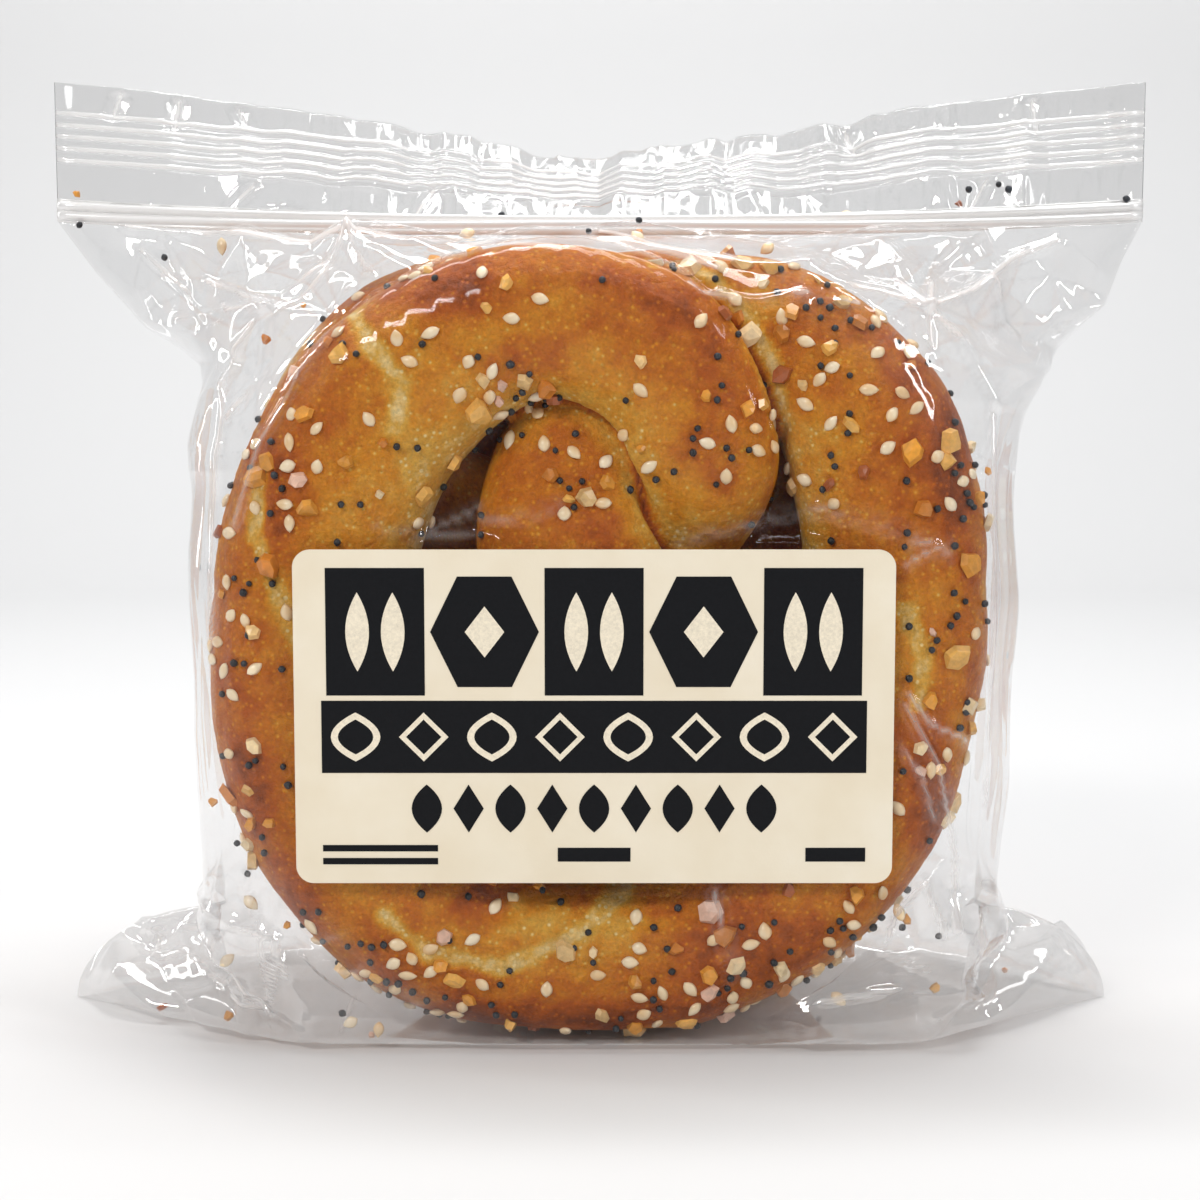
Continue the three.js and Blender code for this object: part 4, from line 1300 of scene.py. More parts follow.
def header_grid():
    """Two flat sheets above the zip with fine grip ribs, as a stack of flat closed rings: their
    offset from the header's middle is their gap, the ribs' half-round backs and the crumples. Also
    how creased each point is, and a painted highlight along the ribs' crests and the single folds,
    in broken stretches and weaker on the back sheet."""
    x = np.linspace(-HEADER_HALF_WIDTH, HEADER_HALF_WIDTH, HEADER_COLUMNS + 1)[None, :]
    rise = header_rises()[:, None]
    ribs = np.zeros_like(rise)
    for rib in GRIP_RIB_HEIGHTS:
        ribs = np.maximum(ribs, GRIP_RIB_RISE * round_back(rise - rib, GRIP_RIB_HALF_WIDTH))
    place = np.stack(np.broadcast_arrays(x, 0 * rise, rise), axis=-1)
    to_seam = ease(0, 4, HEADER_HALF_WIDTH - np.abs(x))
    busy = mix(0.35, 1.0, ease(*BUSY_FROM_X, x)) * mix(1.0, 0.7, ease(*BUSY_TO_X, x))
    above_zip = ease(0, 2.5, rise)
    between_ribs = ease(7.6, 9, rise) * (1 - ease(17.5, 19, rise))
    shared = sum(height * facets(place, size, seed, stretch)
                 for height, size, seed, stretch in HEADER_FACETS) * busy * above_zip * to_seam
    # painted highlight along the ribs' crests, broken in stretches
    painted_crest_highlight = ease(0.55, 0.95, ribs / GRIP_RIB_RISE) * ease(-0.9, 0.2, facets(place, 14.0, 781))
    for foot, top, low, high in HEADER_FOLDS:
        fold_x = mix(foot, top, (rise - low) / (high - low))
        within = ease(low, low + 1.5, rise) * (1 - ease(high - 1.0, high, rise))
        painted_crest_highlight = np.maximum(painted_crest_highlight, within * (1 - ease(0.1, 0.5, np.abs(x - fold_x))))
        shared += within * HEADER_FOLD_HEIGHT * np.maximum(0, 1 - np.abs(x - fold_x) / HEADER_FOLD_WIDTH)
    sheets, creases, lines = [], [], []
    for side, seed in ((-1, 741), (1, 761)):
        height, size, stretch = HEADER_OWN_FACETS
        own = height * facets(place, size, seed, stretch) * busy * above_zip * to_seam
        own = own * mix(1.0, 0.25, between_ribs)
        relief = shared + own
        offset = relief + side * (HEADER_HALF_THICKNESS + ribs) * to_seam
        edge = np.minimum(rise, HEADER_HEIGHT + 0.4 * facets(place, 9.0, 771) * to_seam)
        sheets.append(header_points(x, edge, offset))
        creases.append(np.maximum(sharpness(relief), 0.7 * ease(0.1, 0.4, ribs)))
        # the painted highlight lines, full on the front sheet and weak on the back
        lines.append(painted_crest_highlight * (1.0 if side < 0 else 0.2))
    sheets[0][:, [0, -1]] = header_points(x[:, [0, -1]], rise, 0 * rise)
    grid, crease, line = (np.concatenate([near, far[:, -2:0:-1]], axis=1)
                          for near, far in (sheets, creases, lines))
    return grid, crease, line


ZIP_RIBS = [-0.85, 0.85]  # heights of the zip's ribs
ZIP_RIB_RADIUS = 0.7
ZIP_WALL = 0.6  # half of its thickness beside them
ZIP_HALF_HEIGHT = 2.1
ZIP_COLUMNS = 240
ZIP_ROWS = 42


def zip_grid():
    """The zip: one profile of round ribs on both faces, carried across the bag."""
    x = np.linspace(-HEADER_HALF_WIDTH, HEADER_HALF_WIDTH, ZIP_COLUMNS + 1)[:, None]
    climb = np.linspace(-ZIP_HALF_HEIGHT, ZIP_HALF_HEIGHT, ZIP_ROWS + 1)
    wall = ZIP_WALL * np.sqrt(np.clip(1 - (climb / (ZIP_HALF_HEIGHT + 0.02)) ** 8, 0, 1))
    for rib in ZIP_RIBS:
        arch = round_back(climb - rib, ZIP_RIB_RADIUS)
        wall = np.maximum(wall, ZIP_WALL + (ZIP_HALF_THICKNESS - ZIP_WALL) * arch - 0.02)
    wall[[0, -1]] = 0.05
    closed = mix(0.35, 1.0, ease(0, 2.0, HEADER_HALF_WIDTH - np.abs(x)))
    rise = np.concatenate([climb, climb[::-1]])[None, :]
    offset = np.concatenate([wall, -wall[::-1]])[None, :] * closed
    return header_points(x + 0 * offset, rise + 0 * offset, offset)


def closed_stack(name, grid):
    """A mesh from a stack of rings, closed at its first and last ring by pole points."""
    rows, columns = grid.shape[:2]
    points = np.vstack([grid.reshape(-1, 3), grid[0].mean(axis=0), grid[-1].mean(axis=0)])
    poles = end_fans(rows, columns, len(points) - 2, len(points) - 1)
    return fill_mesh(name, points, [row_faces(rows, columns), poles])


def flat_stack(name, grid):
    """A mesh from a stack of flat rings, whose ends are closed by strips from front to back."""
    rows, columns = grid.shape[:2]
    half = columns // 2
    groups = [row_faces(rows, columns)]
    for base, upwards in ((0, False), ((rows - 1) * columns, True)):
        i = np.arange(1, half - 1)
        quads = base + np.stack([i, i + 1, columns - i - 1, columns - i], axis=-1)
        tips = base + np.array([[0, 1, columns - 1], [half - 1, half, half + 1]])
        groups.append(quads if upwards else quads[:, ::-1])
        groups.append(tips if upwards else tips[:, ::-1])
    return fill_mesh(name, grid.reshape(-1, 3), groups)


# ---- Toppings ----

# Where seeds and chips lie thickest on the front pretzel: column, row, half width, half height,
# how much denser
TOPPING_CLUSTERS = [
    (515, 402, 48, 22, 9), (565, 440, 70, 18, 4), (285, 470, 34, 48, 6), (835, 345, 46, 50, 4),
    (958, 478, 22, 40, 7), (715, 425, 50, 50, 4), (430, 975, 120, 60, 3), (700, 975, 150, 60, 3.5),
    (850, 930, 50, 60, 3), (640, 470, 40, 30, 3), (585, 500, 30, 26, 4), (240, 640, 24, 70, 2.5),
    (245, 800, 26, 70, 2.5), (740, 270, 40, 14, 5), (410, 270, 30, 22, 2.5), (900, 450, 40, 60, 2),
    (480, 400, 24, 30, 6),
]


# How many sesame seeds, poppy seeds and chips lie on the two hidden pretzels, and how near two of
# the same kind come
MIDDLE_COUNTS = (50, 60, 40)
BACK_COUNTS = (130, 170, 100)
TOPPING_SPACINGS = (2.6, 1.4, 3.0)
MIDDLE_RIM = (0.75, 0.95)  # the middle pretzel has them on its rim, as shares of its outline
TOPPING_GAP = 0.68  # how near one kind comes to another, of its own spacing
TOPPING_FLOOR = 0.15  # how low toppings reach


def topping_density(points):
    """Relative density of toppings on the front: one, and more in each cluster."""
    density = np.ones(len(points))
    for column, row, half_width, half_height, amount in TOPPING_CLUSTERS:
        middle = photo_place((column, row), FRONT_FACE_Y)
        away = (points[:, [0, 2]] - middle) / (np.array([half_width, half_height]) * PIXEL_MM)
        density += amount * (1 - ease(0.5, 1.3, np.linalg.norm(away, axis=1)))
    return density


def spread_picks(points, weights, count, spacing, rng):
    """Picks of points by weight that keep a spacing: later picks too near an earlier one go."""
    tries = rng.choice(len(points), size=min(3 * count, len(points)), replace=False,
                       p=weights / weights.sum())
    kept = []
    for index in tries:
        place = points[index]
        if not kept or np.min(np.sum((points[kept] - place) ** 2, axis=1)) > spacing ** 2:
            kept.append(index)
        if len(kept) == count:
            break
    return np.array(kept)


def topping_places(counts, spacings, seed):
    """Places and outward directions for each kind of topping on all pretzels."""
    rng = np.random.default_rng(seed)
    low, high = label_box()
    found = [([], []) for _ in counts[0]]
    for (name, _, facing, *_), kind_counts in zip(PRETZELS, counts):
        mesh = bpy.data.objects[name].data
        points = mesh_points(mesh)
        normals = mesh_normals(mesh)
        outward = normals[:, 1] * facing
        weights = ease(-0.25, 0.45, outward)
        if name == "pretzel_front":
            weights = weights * topping_density(points)
            behind = (points[:, 0] > low[0] - 1) & (points[:, 0] < high[0] + 1)
            behind &= (points[:, 2] > low[2] - 1) & (points[:, 2] < high[2] + 1)
            weights = np.where(behind, 0, weights)
        if name == "pretzel_middle":
            rim = np.hypot(points[:, 0] / 66, (points[:, 2] - 66) / 68)
            weights = weights * ease(*MIDDLE_RIM, rim)
        for kind, (count, spacing) in enumerate(zip(kind_counts, spacings)):
            picks = spread_picks(points, weights, count, spacing, rng)
            found[kind][0].append(points[picks])
            found[kind][1].append(normals[picks])
            for place in points[picks]:
                taken = np.sum((points - place) ** 2, axis=1) < (TOPPING_GAP * spacing) ** 2
                weights = np.where(taken, 0, weights)
    return [(np.vstack(places), np.vstack(directions)) for places, directions in found]


def tangent_frames(normals, rng, tilt):
    """Three directions for each topping: along, across and up, turned at random round its normal
    and tilted a little."""
    up = unit(normals + rng.normal(size=normals.shape) * tilt)
    along = unit(np.cross(up, rng.normal(size=normals.shape)))
    return along, np.cross(up, along), up


def scattered_mesh(name, template, faces, places, frames, sizes, smooth=True):
    """One mesh of many copies: the template's three coordinates along each copy's directions,
    times its sizes. What would pass through the film under the pack is pressed level."""
    if template.ndim == 2:
        template = np.broadcast_to(template, (len(places), *template.shape))
    points = places[:, None, :] + sum(
        template[..., axis, None] * (sizes[:, axis, None, None] * frames[axis][:, None, :])
        for axis in range(3)
    )
    points[..., 2] = np.maximum(points[..., 2], TOPPING_FLOOR)
    corners = template.shape[1]
    shift = (np.arange(len(places)) * corners)[:, None, None]
    groups = [(shift + group[None]).reshape(-1, group.shape[1]) for group in faces]
    return fill_mesh(name, points.reshape(-1, 3), groups, smooth)


def seed_template(rings, columns, pointed):
    """A seed one unit long and two wide at most: a round of sections along it, drawn out to a
    point at one end."""
    along = np.linspace(0, 1, rings + 2)[1:-1]
    bulge = np.sin(np.pi * along ** (1 + 0.35 * pointed)) ** (0.62 + 0.2 * pointed)
    angle = np.linspace(0, 2 * np.pi, columns, endpoint=False)
    ring = np.stack([np.zeros(columns), np.cos(angle), np.sin(angle)], axis=-1)
    points = bulge[:, None, None] * ring[None]
    points[..., 0] = (along - 0.5)[:, None]
    points = np.vstack([points.reshape(-1, 3) * [1, 0.5, 0.5], [[-0.5, 0, 0], [0.5, 0, 0]]])
    last = len(points) - 1
    return points, [row_faces(rings, columns), end_fans(rings, columns, last - 1, last)]


def chip_templates(count, rng):
    """Irregular chips, half a unit round: a six-sided top and a wider six-sided foot, closed by a
    raised and a sunk middle point."""
    sides = 6
    angle = (np.arange(sides) + rng.uniform(-0.32, 0.32, (count, sides))) / sides * 2 * np.pi
    reach = 0.5 * rng.uniform(0.72, 1.12, (count, sides))
    stretch = rng.uniform(0.7, 1.0, (count, 1))
    x, y = reach * np.cos(angle), reach * np.sin(angle) * stretch
    lift = rng.uniform(-0.18, 0.18, (count, sides))
    foot = np.stack([x, y, -0.35 + lift], axis=-1)
    top = np.stack([0.8 * x, 0.8 * y, 0.4 + lift], axis=-1)
    poles = np.zeros((count, 2, 3))
    poles[:, 0, 2] = -0.5
    poles[:, 1, 2] = 0.5
    return np.concatenate([foot, top, poles], axis=1), [
        row_faces(2, sides), end_fans(2, sides, 2 * sides, 2 * sides + 1),
    ]


# Loose toppings in the bag, at pixels of the photograph, by kind
LOOSE_SESAME = [(216, 245), (843, 212), (468, 228), (768, 243), (640, 232), (843, 1000), (905, 915),
                (350, 1030), (378, 1036), (222, 965), (246, 905)]
LOOSE_POPPY = [(83, 228), (165, 253), (974, 188), (1006, 185), (1132, 198), (588, 226), (1000, 180),
               (640, 215), (505, 212), (232, 848), (244, 880), (345, 1012), (900, 932), (935, 940)]
LOOSE_CHIPS = [(74, 190), (305, 300), (262, 335), (640, 226), (905, 925), (1008, 968), (935, 985),
               (370, 1042), (283, 930), (222, 1018), (963, 200), (206, 800), (993, 470), (160, 1005)]


LOOSE_FLOOR = 1.8  # lowest middle of a loose topping
LOOSE_SEARCH = 6.0  # pixels round its place in which the film's front is looked for
HEADER_INSET = 0.5  # how far inside the film a topping lies, in the header
BODY_INSET = 1.3  # and below the zip
LOOSE_FACING = [0.0, -1.0, 0.25]  # which way it faces


def loose_places(pixels):
    """Places just inside the film that shows at pixels of the photograph."""
    grid = np.vstack([mesh_points(bpy.data.objects[name].data) for name in ("film_front", "film_header")])
    front = grid[grid[:, 1] < 6]
    shown = photo_pixels(front)
    places = []
    for pixel in pixels:
        away = np.hypot(*(shown - pixel).T)
        near = front[away < LOOSE_SEARCH]
        places.append(near[near[:, 1].argmin()] if len(near) else front[away.argmin()])
    places = np.array(places)
    places[:, 1] += np.where(places[:, 2] > ZIP_END_Z - 4, HEADER_INSET, BODY_INSET)
    places[:, 2] = np.maximum(places[:, 2], LOOSE_FLOOR)
    return places, np.tile(LOOSE_FACING, (len(places), 1))


SESAME_LENGTH_SPREAD = 0.22
SESAME_WIDTH = (2.1, 0.14)  # usual size and its spread
SESAME_THICKNESS = (1.25, 0.1)
SESAME_TILT = 0.16
SESAME_LIFT = 0.22  # of its thickness, how high its middle lies
POPPY_SPREAD = 0.1
POPPY_SHAPE = np.array([1.12, 1.0, 0.92])
POPPY_TILT = 0.5
POPPY_LIFT = 0.3
CHIP_SPREAD = 0.26  # of the logarithm of its size
CHIP_LIMITS = (1.8, 5.4)
CHIP_FLATNESS = (0.3, 0.5)  # thickness for its width
CHIP_TILT = 0.3
CHIP_LIFT = 0.26
LOOSE_CHIP_SHARE = 0.55  # of a usual chip's size
# Colours of the chips' flesh and skin, and what share of them has each
CHIP_COLOURS = [("#F2B85C", 0.22), ("#E9A03C", 0.24), ("#F7DCAC", 0.16), ("#D4832E", 0.14),
                ("#B3602E", 0.07), ("#EBC0A8", 0.07), ("#F4CB8A", 0.10)]
CHIP_SHADES = (0.85, 1.1)  # each chip's own brightness


def together(places, extra):
    """Toppings on dough and loose ones as one list of places and directions."""
    return np.vstack([places[0], extra[0]]), unit(np.vstack([places[1], extra[1]]))


def build_sesame(places, normals, settings, rng):
    """Flat pointed seeds, each of its own size, that lie on the dough and sink into it a little."""
    template, faces = seed_template(6, 8, 0.35)
    count = len(places)
    length = rng.normal(settings.sesame_length / MM, SESAME_LENGTH_SPREAD, count)
    width, thickness = (rng.normal(*spread, count) for spread in (SESAME_WIDTH, SESAME_THICKNESS))
    size = np.stack([length, width, thickness], axis=-1)
    frames = tangent_frames(normals, rng, SESAME_TILT)
    places = places + normals * (SESAME_LIFT * size[:, 2:])
    mesh = scattered_mesh("sesame_seeds", template, faces, places, frames, size)
    material = new_material("hulled_sesame", settings.sesame_colour, sesame_surface, settings)
    add_piece("sesame_seeds", mesh, material)


def build_poppy(places, normals, settings, rng):
    """Round seeds, a little longer than wide."""
    template, faces = seed_template(4, 7, 0.0)
    across = rng.normal(settings.poppy_size / MM, POPPY_SPREAD, len(places))
    size = across[:, None] * POPPY_SHAPE
    frames = tangent_frames(normals, rng, POPPY_TILT)
    places = places + normals * (POPPY_LIFT * across[:, None])
    mesh = scattered_mesh("poppy_seeds", template, faces, places, frames, size)
    material = new_material("poppy_seed_hull", settings.poppy_colour, poppy_surface, settings)
    add_piece("poppy_seeds", mesh, material)


def build_chips(places, normals, settings, rng):
    """Chips on the dough and, at the end of the list, the smaller loose ones."""
    count = len(places)
    template, faces = chip_templates(count, rng)
    across = np.clip(rng.lognormal(np.log(settings.chip_size / MM), CHIP_SPREAD, count), *CHIP_LIMITS)
    across[-len(LOOSE_CHIPS):] *= LOOSE_CHIP_SHARE
    size = np.stack([across, across, across * rng.uniform(*CHIP_FLATNESS, count)], axis=-1)
    frames = tangent_frames(normals, rng, CHIP_TILT)
    places = places + normals * (CHIP_LIFT * size[:, 2:])
    mesh = scattered_mesh("dried_chips", template, faces, places, frames, size, smooth=False)
    palette = np.array([linear(code) for code, share in CHIP_COLOURS])
    chosen = palette[rng.choice(len(palette), count, p=[share for code, share in CHIP_COLOURS])]
    chosen = chosen * rng.uniform(*CHIP_SHADES, (count, 1))
    colours = np.repeat(chosen, template.shape[1], axis=0)
    set_attribute(mesh, "chip_colour", np.column_stack([np.clip(colours, 0, 1), np.ones(len(colours))]))
    material = new_material("dried_garlic_and_onion", linear("#DDA14E"), flake_surface)
    add_piece("dried_chips", mesh, material)


# ---- The label's print ----

PRINT_RELIEF = 0.06  # height of the ink on the paper
LABEL_INSET = 4.6  # from the label's sides to the print
HEAVY_ROW = (84.3, 62.6)  # top and bottom of the row of heavy shapes
BAND = (61.7, 49.3)  # of the black band
MIDDLE_ROW = (47.3, 39.0)  # of the row of small shapes
LINE_ROW = (37.4, 32.9)  # of the small lines
HEAVY_COUNT = 5
HEAVY_GAP = 0.9  # half of the paper between two heavy shapes
BAND_COUNT = 8
BAND_RINGS = (4.2, 3.0)  # outer and inner half width of a ring in the band
MIDDLE_COUNT = 9
MIDDLE_SPAN = 64.0
LINE_HALF_LENGTHS = (9.8, 6.2, 5.1)
THIN_LINE = 0.55  # half thickness
THICK_LINE = 1.2


def shape_prism(outline, face_y):
    """A flat closed shape that stands on the label: its outline twice, and fans to two middles."""
    count = len(outline)
    back = np.column_stack([outline[:, 0], np.full(count, face_y), outline[:, 1]])
    face = back - [0, PRINT_RELIEF, 0]
    points = np.vstack([back, face, back.mean(axis=0), face.mean(axis=0)])
    return points, [row_faces(2, count), end_fans(2, count, 2 * count, 2 * count + 1)]


def ring_prism(outer, inner, face_y):
    """A flat closed frame: a four-cornered section carried round from outline to outline."""
    corners = [(outer, 0), (outer, PRINT_RELIEF), (inner, PRINT_RELIEF), (inner, 0)]
    loops = [np.column_stack([line[:, 0], np.full(len(line), face_y - rise), line[:, 1]])
             for line, rise in corners]
    rows = np.array(loops + loops[:1])
    faces = row_faces(5, len(outer)) % (4 * len(outer))
    return rows[:4].reshape(-1, 3), [faces]


def disc(x, z, radius_x, radius_z, steps):
    """Points round an ellipse, anticlockwise as seen from the front."""
    angle = np.linspace(0, 2 * np.pi, steps, endpoint=False)
    return np.stack([x + radius_x * np.cos(angle), z + radius_z * np.sin(angle)], axis=-1)


def kernel(x, z, half_width, half_height, steps=36):
    """A pointed upright grain: its width is the square of a cosine's arch, up one side and down the
    other."""
    angle = np.linspace(-np.pi / 2, 3 * np.pi / 2, steps, endpoint=False)
    return np.stack([x + half_width * np.cos(angle) * np.abs(np.cos(angle)),
                     z + half_height * np.sin(angle)], axis=-1)


def diamond_outline(x, z, half_width, half_height):
    """The four corners of a diamond."""
    return disc(x, z, half_width, half_height, steps=4)


def slab(x, z, half_width, half_height):
    """The four corners of an upright rectangle."""
    signs = np.array([[-1, -1], [1, -1], [1, 1], [-1, 1]])
    return signs * [half_width, half_height] + [x, z]


def merged(parts):
    """Several closed shapes as one list of points and faces."""
    points, groups, shift = [], [], 0
    for part_points, part_groups in parts:
        points.append(part_points)
        groups += [group + shift for group in part_groups]
        shift += len(part_points)
    return np.vstack(points), groups


def label_shapes(low, high):
    """The generic design: a row of heavy shapes, a black band with outlined shapes, a row of small
    shapes, and short lines, as dark and light areas like the real print's."""
    left, right = low[0] + LABEL_INSET, high[0] - LABEL_INSET
    width = right - left
    face = low[1]
    ink, cream = [], []
    top, bottom = HEAVY_ROW
    tile = width / HEAVY_COUNT
    half = (top - bottom) / 2
    middle = (top + bottom) / 2
    for i in range(HEAVY_COUNT):
        x = left + tile * (i + 0.5)
        reach = tile / 2 - HEAVY_GAP
        if i % 2 == 0:
            ink.append(shape_prism(slab(x, middle, reach, half), face))
            for shift in (-0.36, 0.36):
                grain = kernel(x + shift * reach, middle, 0.24 * reach, 0.62 * half)
                cream.append(shape_prism(grain, face - PRINT_RELIEF))
        else:
            ink.append(shape_prism(disc(x, middle, reach * 1.1, half, steps=6), face))
            diamond = disc(x, middle, 0.4 * reach, 0.4 * half, steps=4)
            cream.append(shape_prism(diamond, face - PRINT_RELIEF))
    top, bottom = BAND
    z = (top + bottom) / 2
    ink.append(shape_prism(slab((left + right) / 2, z, width / 2, (top - bottom) / 2), face))
    for i in range(BAND_COUNT):
        x = left + width / BAND_COUNT * (i + 0.5)
        outer, inner = ((kernel, diamond_outline)[i % 2](x, z, reach, reach) for reach in BAND_RINGS)
        cream.append(ring_prism(outer, inner, face - PRINT_RELIEF))
    top, bottom = MIDDLE_ROW
    z = (top + bottom) / 2
    reach = (top - bottom) / 2
    for i in range(MIDDLE_COUNT):
        x = (left + right) / 2 + MIDDLE_SPAN * ((i + 0.5) / MIDDLE_COUNT - 0.5)
        outline = (kernel, diamond_outline)[i % 2](x, z, 0.62 * reach, reach)
        ink.append(shape_prism(outline, face))
    top, bottom = LINE_ROW
    step = (top - bottom) / 2
    long, middling, short = LINE_HALF_LENGTHS
    for z in (top - 0.5 * step, top - 1.5 * step):
        ink.append(shape_prism(slab(left + long, z, long, THIN_LINE), face))
    for x, half_length in (((left + right) / 2, middling), (right - short, short)):
        ink.append(shape_prism(slab(x, (top + bottom) / 2, half_length, THICK_LINE), face))
    return merged(ink), merged(cream)


# ---- The studio ----

FLOOR_Z = -0.2  # just under the bag, so that the two never share a place
SWEEP_RADIUS = 260.0
SWEEP_WALL_Y = 900.0
SWEEP_HALF_WIDTH = 2600.0
SWEEP_FRONT_Y = -2200.0
SWEEP_WALL_HEIGHT = 2200.0


def sweep_mesh():
    """A floor that runs into a wall behind the object by a quarter round."""
    turn = np.linspace(0, np.pi / 2, 24)
    y = np.concatenate([[SWEEP_FRONT_Y], SWEEP_WALL_Y - SWEEP_RADIUS + SWEEP_RADIUS * np.sin(turn),
                        [SWEEP_WALL_Y]])
    z = np.concatenate([[0], SWEEP_RADIUS * (1 - np.cos(turn)), [SWEEP_WALL_HEIGHT]]) + FLOOR_Z
    profile = np.stack([np.zeros_like(y), y, z], axis=-1)
    sides = np.array([-SWEEP_HALF_WIDTH, SWEEP_HALF_WIDTH])
    points = profile[:, None, :] + np.stack([sides, 0 * sides, 0 * sides], axis=-1)[None]
    row = np.arange(len(profile) - 1) * 2
    faces = np.stack([row, row + 1, row + 3, row + 2], axis=-1)
    return fill_mesh("studio_sweep", points.reshape(-1, 3), [faces])


def add_light(name, place, target, width, height, power, colour):
    """A soft box at a place, in metres, that faces a target."""
    light = bpy.data.lights.new(name, "AREA")
    light.shape = "RECTANGLE"
    light.size = width
    light.size_y = height
    light.energy = power
    light.color = linear(colour)
    lamp = bpy.data.objects.new(name, light)
    lamp.location = place
    lamp.rotation_euler = (Vector(target) - Vector(place)).to_track_quat("-Z", "Y").to_euler()
    bpy.context.scene.collection.objects.link(lamp)


# Name, place, target, width, height, power and colour of each light
STUDIO_LIGHTS = [
    ("key_box", (-0.42, -0.62, 0.62), (0, 0, 0.07), 0.36, 0.08, 3.6, "#FFFBF7"),
    ("right_box", (0.62, -0.42, 0.40), (0, 0, 0.07), 0.06, 0.46, 1.6, "#FFFFFF"),
    ("top_box", (0.05, 0.06, 0.72), (0, 0, 0.10), 0.50, 0.12, 2.8, "#FFFFFF"),
    ("left_strip", (-0.60, 0.12, 0.30), (0, 0, 0.08), 0.05, 0.50, 0.7, "#FFFFFF"),
    ("wall_wash", (0.0, 0.30, 0.95), (0, 0.9, 0.35), 1.2, 0.25, 7.0, "#FFFFFF"),
]


def stage_surface(tree, colour):
    """Matt studio paper: a pale even white."""
    return add_node(tree, "BsdfPrincipled", {"Base Color": (*colour, 1), "Roughness": 0.8, "IOR": 1.4})


def add_camera():
    """The photograph's view: its focal length and pitch, level and unshifted."""
    data = bpy.data.cameras.new("camera")
    data.sensor_width = SENSOR_WIDTH
    data.lens = FOCAL_PIXELS / PHOTO_SIDE * SENSOR_WIDTH
    data.clip_start = 0.01
    camera = bpy.data.objects.new("camera", data)
    camera.location = (0, CAMERA_Y * MM, CAMERA_Z * MM)
    camera.rotation_euler = (np.pi / 2 - PITCH, 0, 0)
    bpy.context.scene.collection.objects.link(camera)
    bpy.context.scene.camera = camera


# ---- The add-on ----

def colour_setting(name, hex_code, description):
    """A linear colour that a user can change, whose default is an sRGB hex colour."""
    return bpy.props.FloatVectorProperty(
        name=name, description=description, subtype="COLOR", default=linear(hex_code), min=0, max=1)


class PretzelSettings(bpy.types.PropertyGroup):
    """Colours, sizes and amounts of the food."""

    crust_cream: colour_setting("Opened crust", "#F5D998", "Where the crust stretched open")
    crust_pale: colour_setting("Pale crust", "#E4AE46", "In the creases between strands")
    crust_golden: colour_setting("Golden crust", "#DD901E", "On the strands' sides")
    crust_amber: colour_setting("Amber crust", "#CD7411", "On the strands' backs")
    crust_brown: colour_setting("Brown crust", "#B95A0F", "On the browned patches")
    # also the painted shade in the crevices between strands
    crust_dark: colour_setting("Dark crust", "#853C0B", "On the darkest ridges")
    sesame_colour: colour_setting("Sesame", "#F8E3BE", "Hulled sesame")
    sesame_toasted: colour_setting("Toasted sesame", "#ECC48C", "The darker seeds")
    poppy_colour: colour_setting("Poppy", "#171A1F", "Poppy seed hulls")
    sesame_length: bpy.props.FloatProperty(
        name="Sesame length", description="Of a usual sesame seed", unit="LENGTH",
        default=3.15 * MM, min=0, precision=5)
    poppy_size: bpy.props.FloatProperty(
        name="Poppy size", description="Across a usual poppy seed", unit="LENGTH",
        default=1.28 * MM, min=0, precision=5)
    chip_size: bpy.props.FloatProperty(
        name="Chip size", description="Across a usual chip of onion or garlic", unit="LENGTH",
        default=3.5 * MM, min=0, precision=5)
    sesame_count: bpy.props.IntProperty(
        name="Sesame seeds", description="On the front pretzel", default=150, min=0, max=600)
    poppy_count: bpy.props.IntProperty(
        name="Poppy seeds", description="On the front pretzel", default=210, min=0, max=900)
    chip_count: bpy.props.IntProperty(
        name="Dried chips", description="On the front pretzel", default=120, min=0, max=600)


class BagSettings(bpy.types.PropertyGroup):
    """The film and the label."""

    film_haze: bpy.props.FloatProperty(
        name="Film haze", description="Share of light the film scatters", default=0.012, min=0, max=1,
        subtype="FACTOR")
    film_tint: colour_setting("Film tint", "#F8F8F8", "Colour of light through one sheet")
    paper_colour: colour_setting("Label paper", "#F4E9D2", "The paper's own colour")
    ink_colour: colour_setting("Ink", "#17181B", "The print's dark areas")


class BuildPretzels(bpy.types.Operator):
    """Three soft pretzels, one behind the other"""

    bl_idname = "bagged.pretzels"
    bl_label = "Pretzels"

    def execute(self, context):
        settings = context.scene.pretzel_settings
        material = new_material("baked_pretzel_crust", linear("#B9742A"), crust_surface, settings)
        for pretzel in PRETZELS:
            rope = pretzel_rope(pretzel)
            points, faces = rope_tube(rope)
            mesh = fused_mesh(pretzel[0], points, faces, pretzel[-1])
            finish_dough(mesh, pretzel, rope)
            add_piece(pretzel[0], mesh, material)
        return {"FINISHED"}


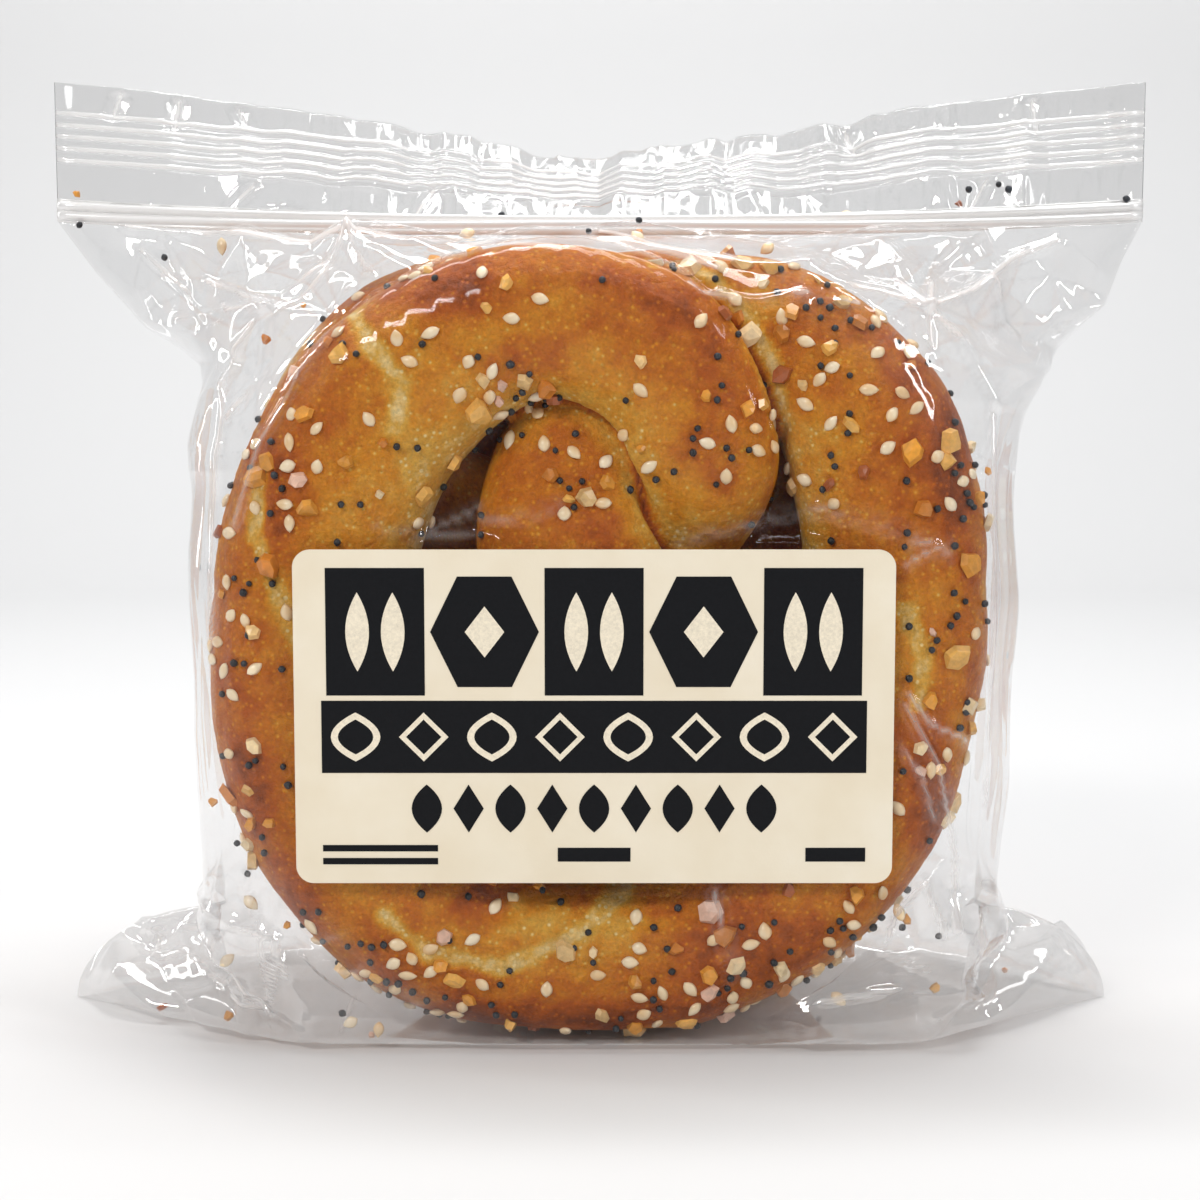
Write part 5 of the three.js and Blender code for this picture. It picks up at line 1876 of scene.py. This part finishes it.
class BuildFilm(bpy.types.Operator):
    """The clear bag: its body, its zip and the header above it"""

    bl_idname = "bagged.film"
    bl_label = "Film"

    def execute(self, context):
        bag = context.scene.bag_settings
        film, ribbed, track = (
            new_material(name, linear("#E8E8E8"), film_surface, *finish) for name, *finish in (
                ("cast_polypropylene_film", bag.film_tint, 0.06, 0.4),
                ("ribbed_header_film", linear("#F3F3F3"), 0.07, 0.3),
                ("extruded_zip_profile", linear("#FDFDFD"), 0.18, 0.1)))
        for name, side, seed in (("film_front", -1, 301), ("film_back", 1, 401)):
            grid, crease, painted_fold_glint, free = film_sheet(side, seed)
            mesh = fill_mesh(name, grid.reshape(-1, 3), [row_faces(*grid.shape[:2], closed=False)])
            film_finish(mesh, crease, painted_fold_glint, free, bag.film_haze)
            piece = add_piece(name, mesh, film)
            if side < 0:
                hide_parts("bag")
        grid, crease, line = header_grid()
        header = flat_stack("film_header", grid)
        set_attribute(header, "mirror", (HEADER_MIRROR + CREASE_MIRROR * crease).ravel())
        # the header's haze, with painted highlights on its creases and along its rib crests and folds
        set_attribute(header, "milk_and_painted_glints", (2 * bag.film_haze + CREASE_PAINTED_GLINT * crease + RIB_PAINTED_HIGHLIGHT * line).ravel())
        add_piece("film_header", header, ribbed)
        track_mesh = closed_stack("zip_track", zip_grid())
        count = len(track_mesh.vertices)
        set_attribute(track_mesh, "mirror", np.full(count, ZIP_MIRROR))
        set_attribute(track_mesh, "milk_and_painted_glints", np.full(count, ZIP_MILK))
        add_piece("zip_track", track_mesh, track)
        return {"FINISHED"}


class BuildLabel(bpy.types.Operator):
    """The paper label's finish and its print"""

    bl_idname = "bagged.label"
    bl_label = "Label"

    def execute(self, context):
        bag = context.scene.bag_settings
        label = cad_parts["label"]
        label.data.materials.clear()
        paper = new_material("uncoated_label_paper", bag.paper_colour, paper_surface, bag)
        label.data.materials.append(paper)
        for name, finish, colour, shapes in zip(
                ("label_print_dark", "label_print_light"), ("black_printing_ink", "bare_paper_in_print"),
                (bag.ink_colour, bag.paper_colour), label_shapes(*label_box())):
            material = new_material(finish, colour, ink_surface, colour)
            add_piece(name, fill_mesh(name, *shapes, smooth=False), material)
        return {"FINISHED"}


class ScatterToppings(bpy.types.Operator):
    """Sesame, poppy seed and dried chips, on the pretzels and loose in the bag"""

    bl_idname = "bagged.toppings"
    bl_label = "Toppings"

    def execute(self, context):
        settings = context.scene.pretzel_settings
        front = (settings.sesame_count, settings.poppy_count, settings.chip_count)
        found = topping_places([front, MIDDLE_COUNTS, BACK_COUNTS], TOPPING_SPACINGS, 71)
        rng = np.random.default_rng(73)
        builders = (build_sesame, build_poppy, build_chips)
        for build, on_dough, loose in zip(builders, found, (LOOSE_SESAME, LOOSE_POPPY, LOOSE_CHIPS)):
            build(*together(on_dough, loose_places(loose)), settings, rng)
        return {"FINISHED"}


class SetStage(bpy.types.Operator):
    """A pale floor and wall, soft lights and the camera"""

    bl_idname = "bagged.stage"
    bl_label = "Stage"

    def execute(self, context):
        scene = context.scene
        white = linear("#D9D9D9")
        material = new_material("studio_paper", white, stage_surface, white)
        show("studio_sweep", sweep_mesh(), material)
        for light in STUDIO_LIGHTS:
            add_light(*light)
        world = bpy.data.worlds.new("studio_air")
        world.use_nodes = True
        background = world.node_tree.nodes["Background"]
        background.inputs["Color"].default_value = (*linear("#E6E9EE"), 1)
        background.inputs["Strength"].default_value = 0.34
        scene.world = world
        scene.view_settings.view_transform = "Standard"
        scene.cycles.transparent_max_bounces = 16
        add_camera()
        return {"FINISHED"}


class PretzelPanel(bpy.types.Panel):
    """Settings and builders in the sidebar"""

    bl_idname = "VIEW3D_PT_bagged_pretzels"
    bl_label = "Bagged Pretzels"
    bl_space_type = "VIEW_3D"
    bl_region_type = "UI"
    bl_category = "Pretzels"

    def draw(self, context):
        for settings in (context.scene.pretzel_settings, context.scene.bag_settings):
            for name in settings.bl_rna.properties.keys():
                if name not in ("rna_type", "name"):
                    self.layout.prop(settings, name)
        for operator in OPERATORS:
            self.layout.operator(operator.bl_idname)


OPERATORS = (BuildPretzels, BuildFilm, BuildLabel, ScatterToppings, SetStage)
CLASSES = (PretzelSettings, BagSettings, *OPERATORS, PretzelPanel)


def register():
    for entry in CLASSES:
        bpy.utils.register_class(entry)
    bpy.types.Scene.pretzel_settings = bpy.props.PointerProperty(type=PretzelSettings)
    bpy.types.Scene.bag_settings = bpy.props.PointerProperty(type=BagSettings)


def unregister():
    del bpy.types.Scene.bag_settings
    del bpy.types.Scene.pretzel_settings
    for entry in reversed(CLASSES):
        bpy.utils.unregister_class(entry)


def main():
    register()
    bpy.ops.bagged.pretzels()
    bpy.ops.bagged.film()
    bpy.ops.bagged.label()
    bpy.ops.bagged.toppings()
    bpy.ops.bagged.stage()
    bpy.context.view_layer.update()


if __name__ == "__main__":
    main()
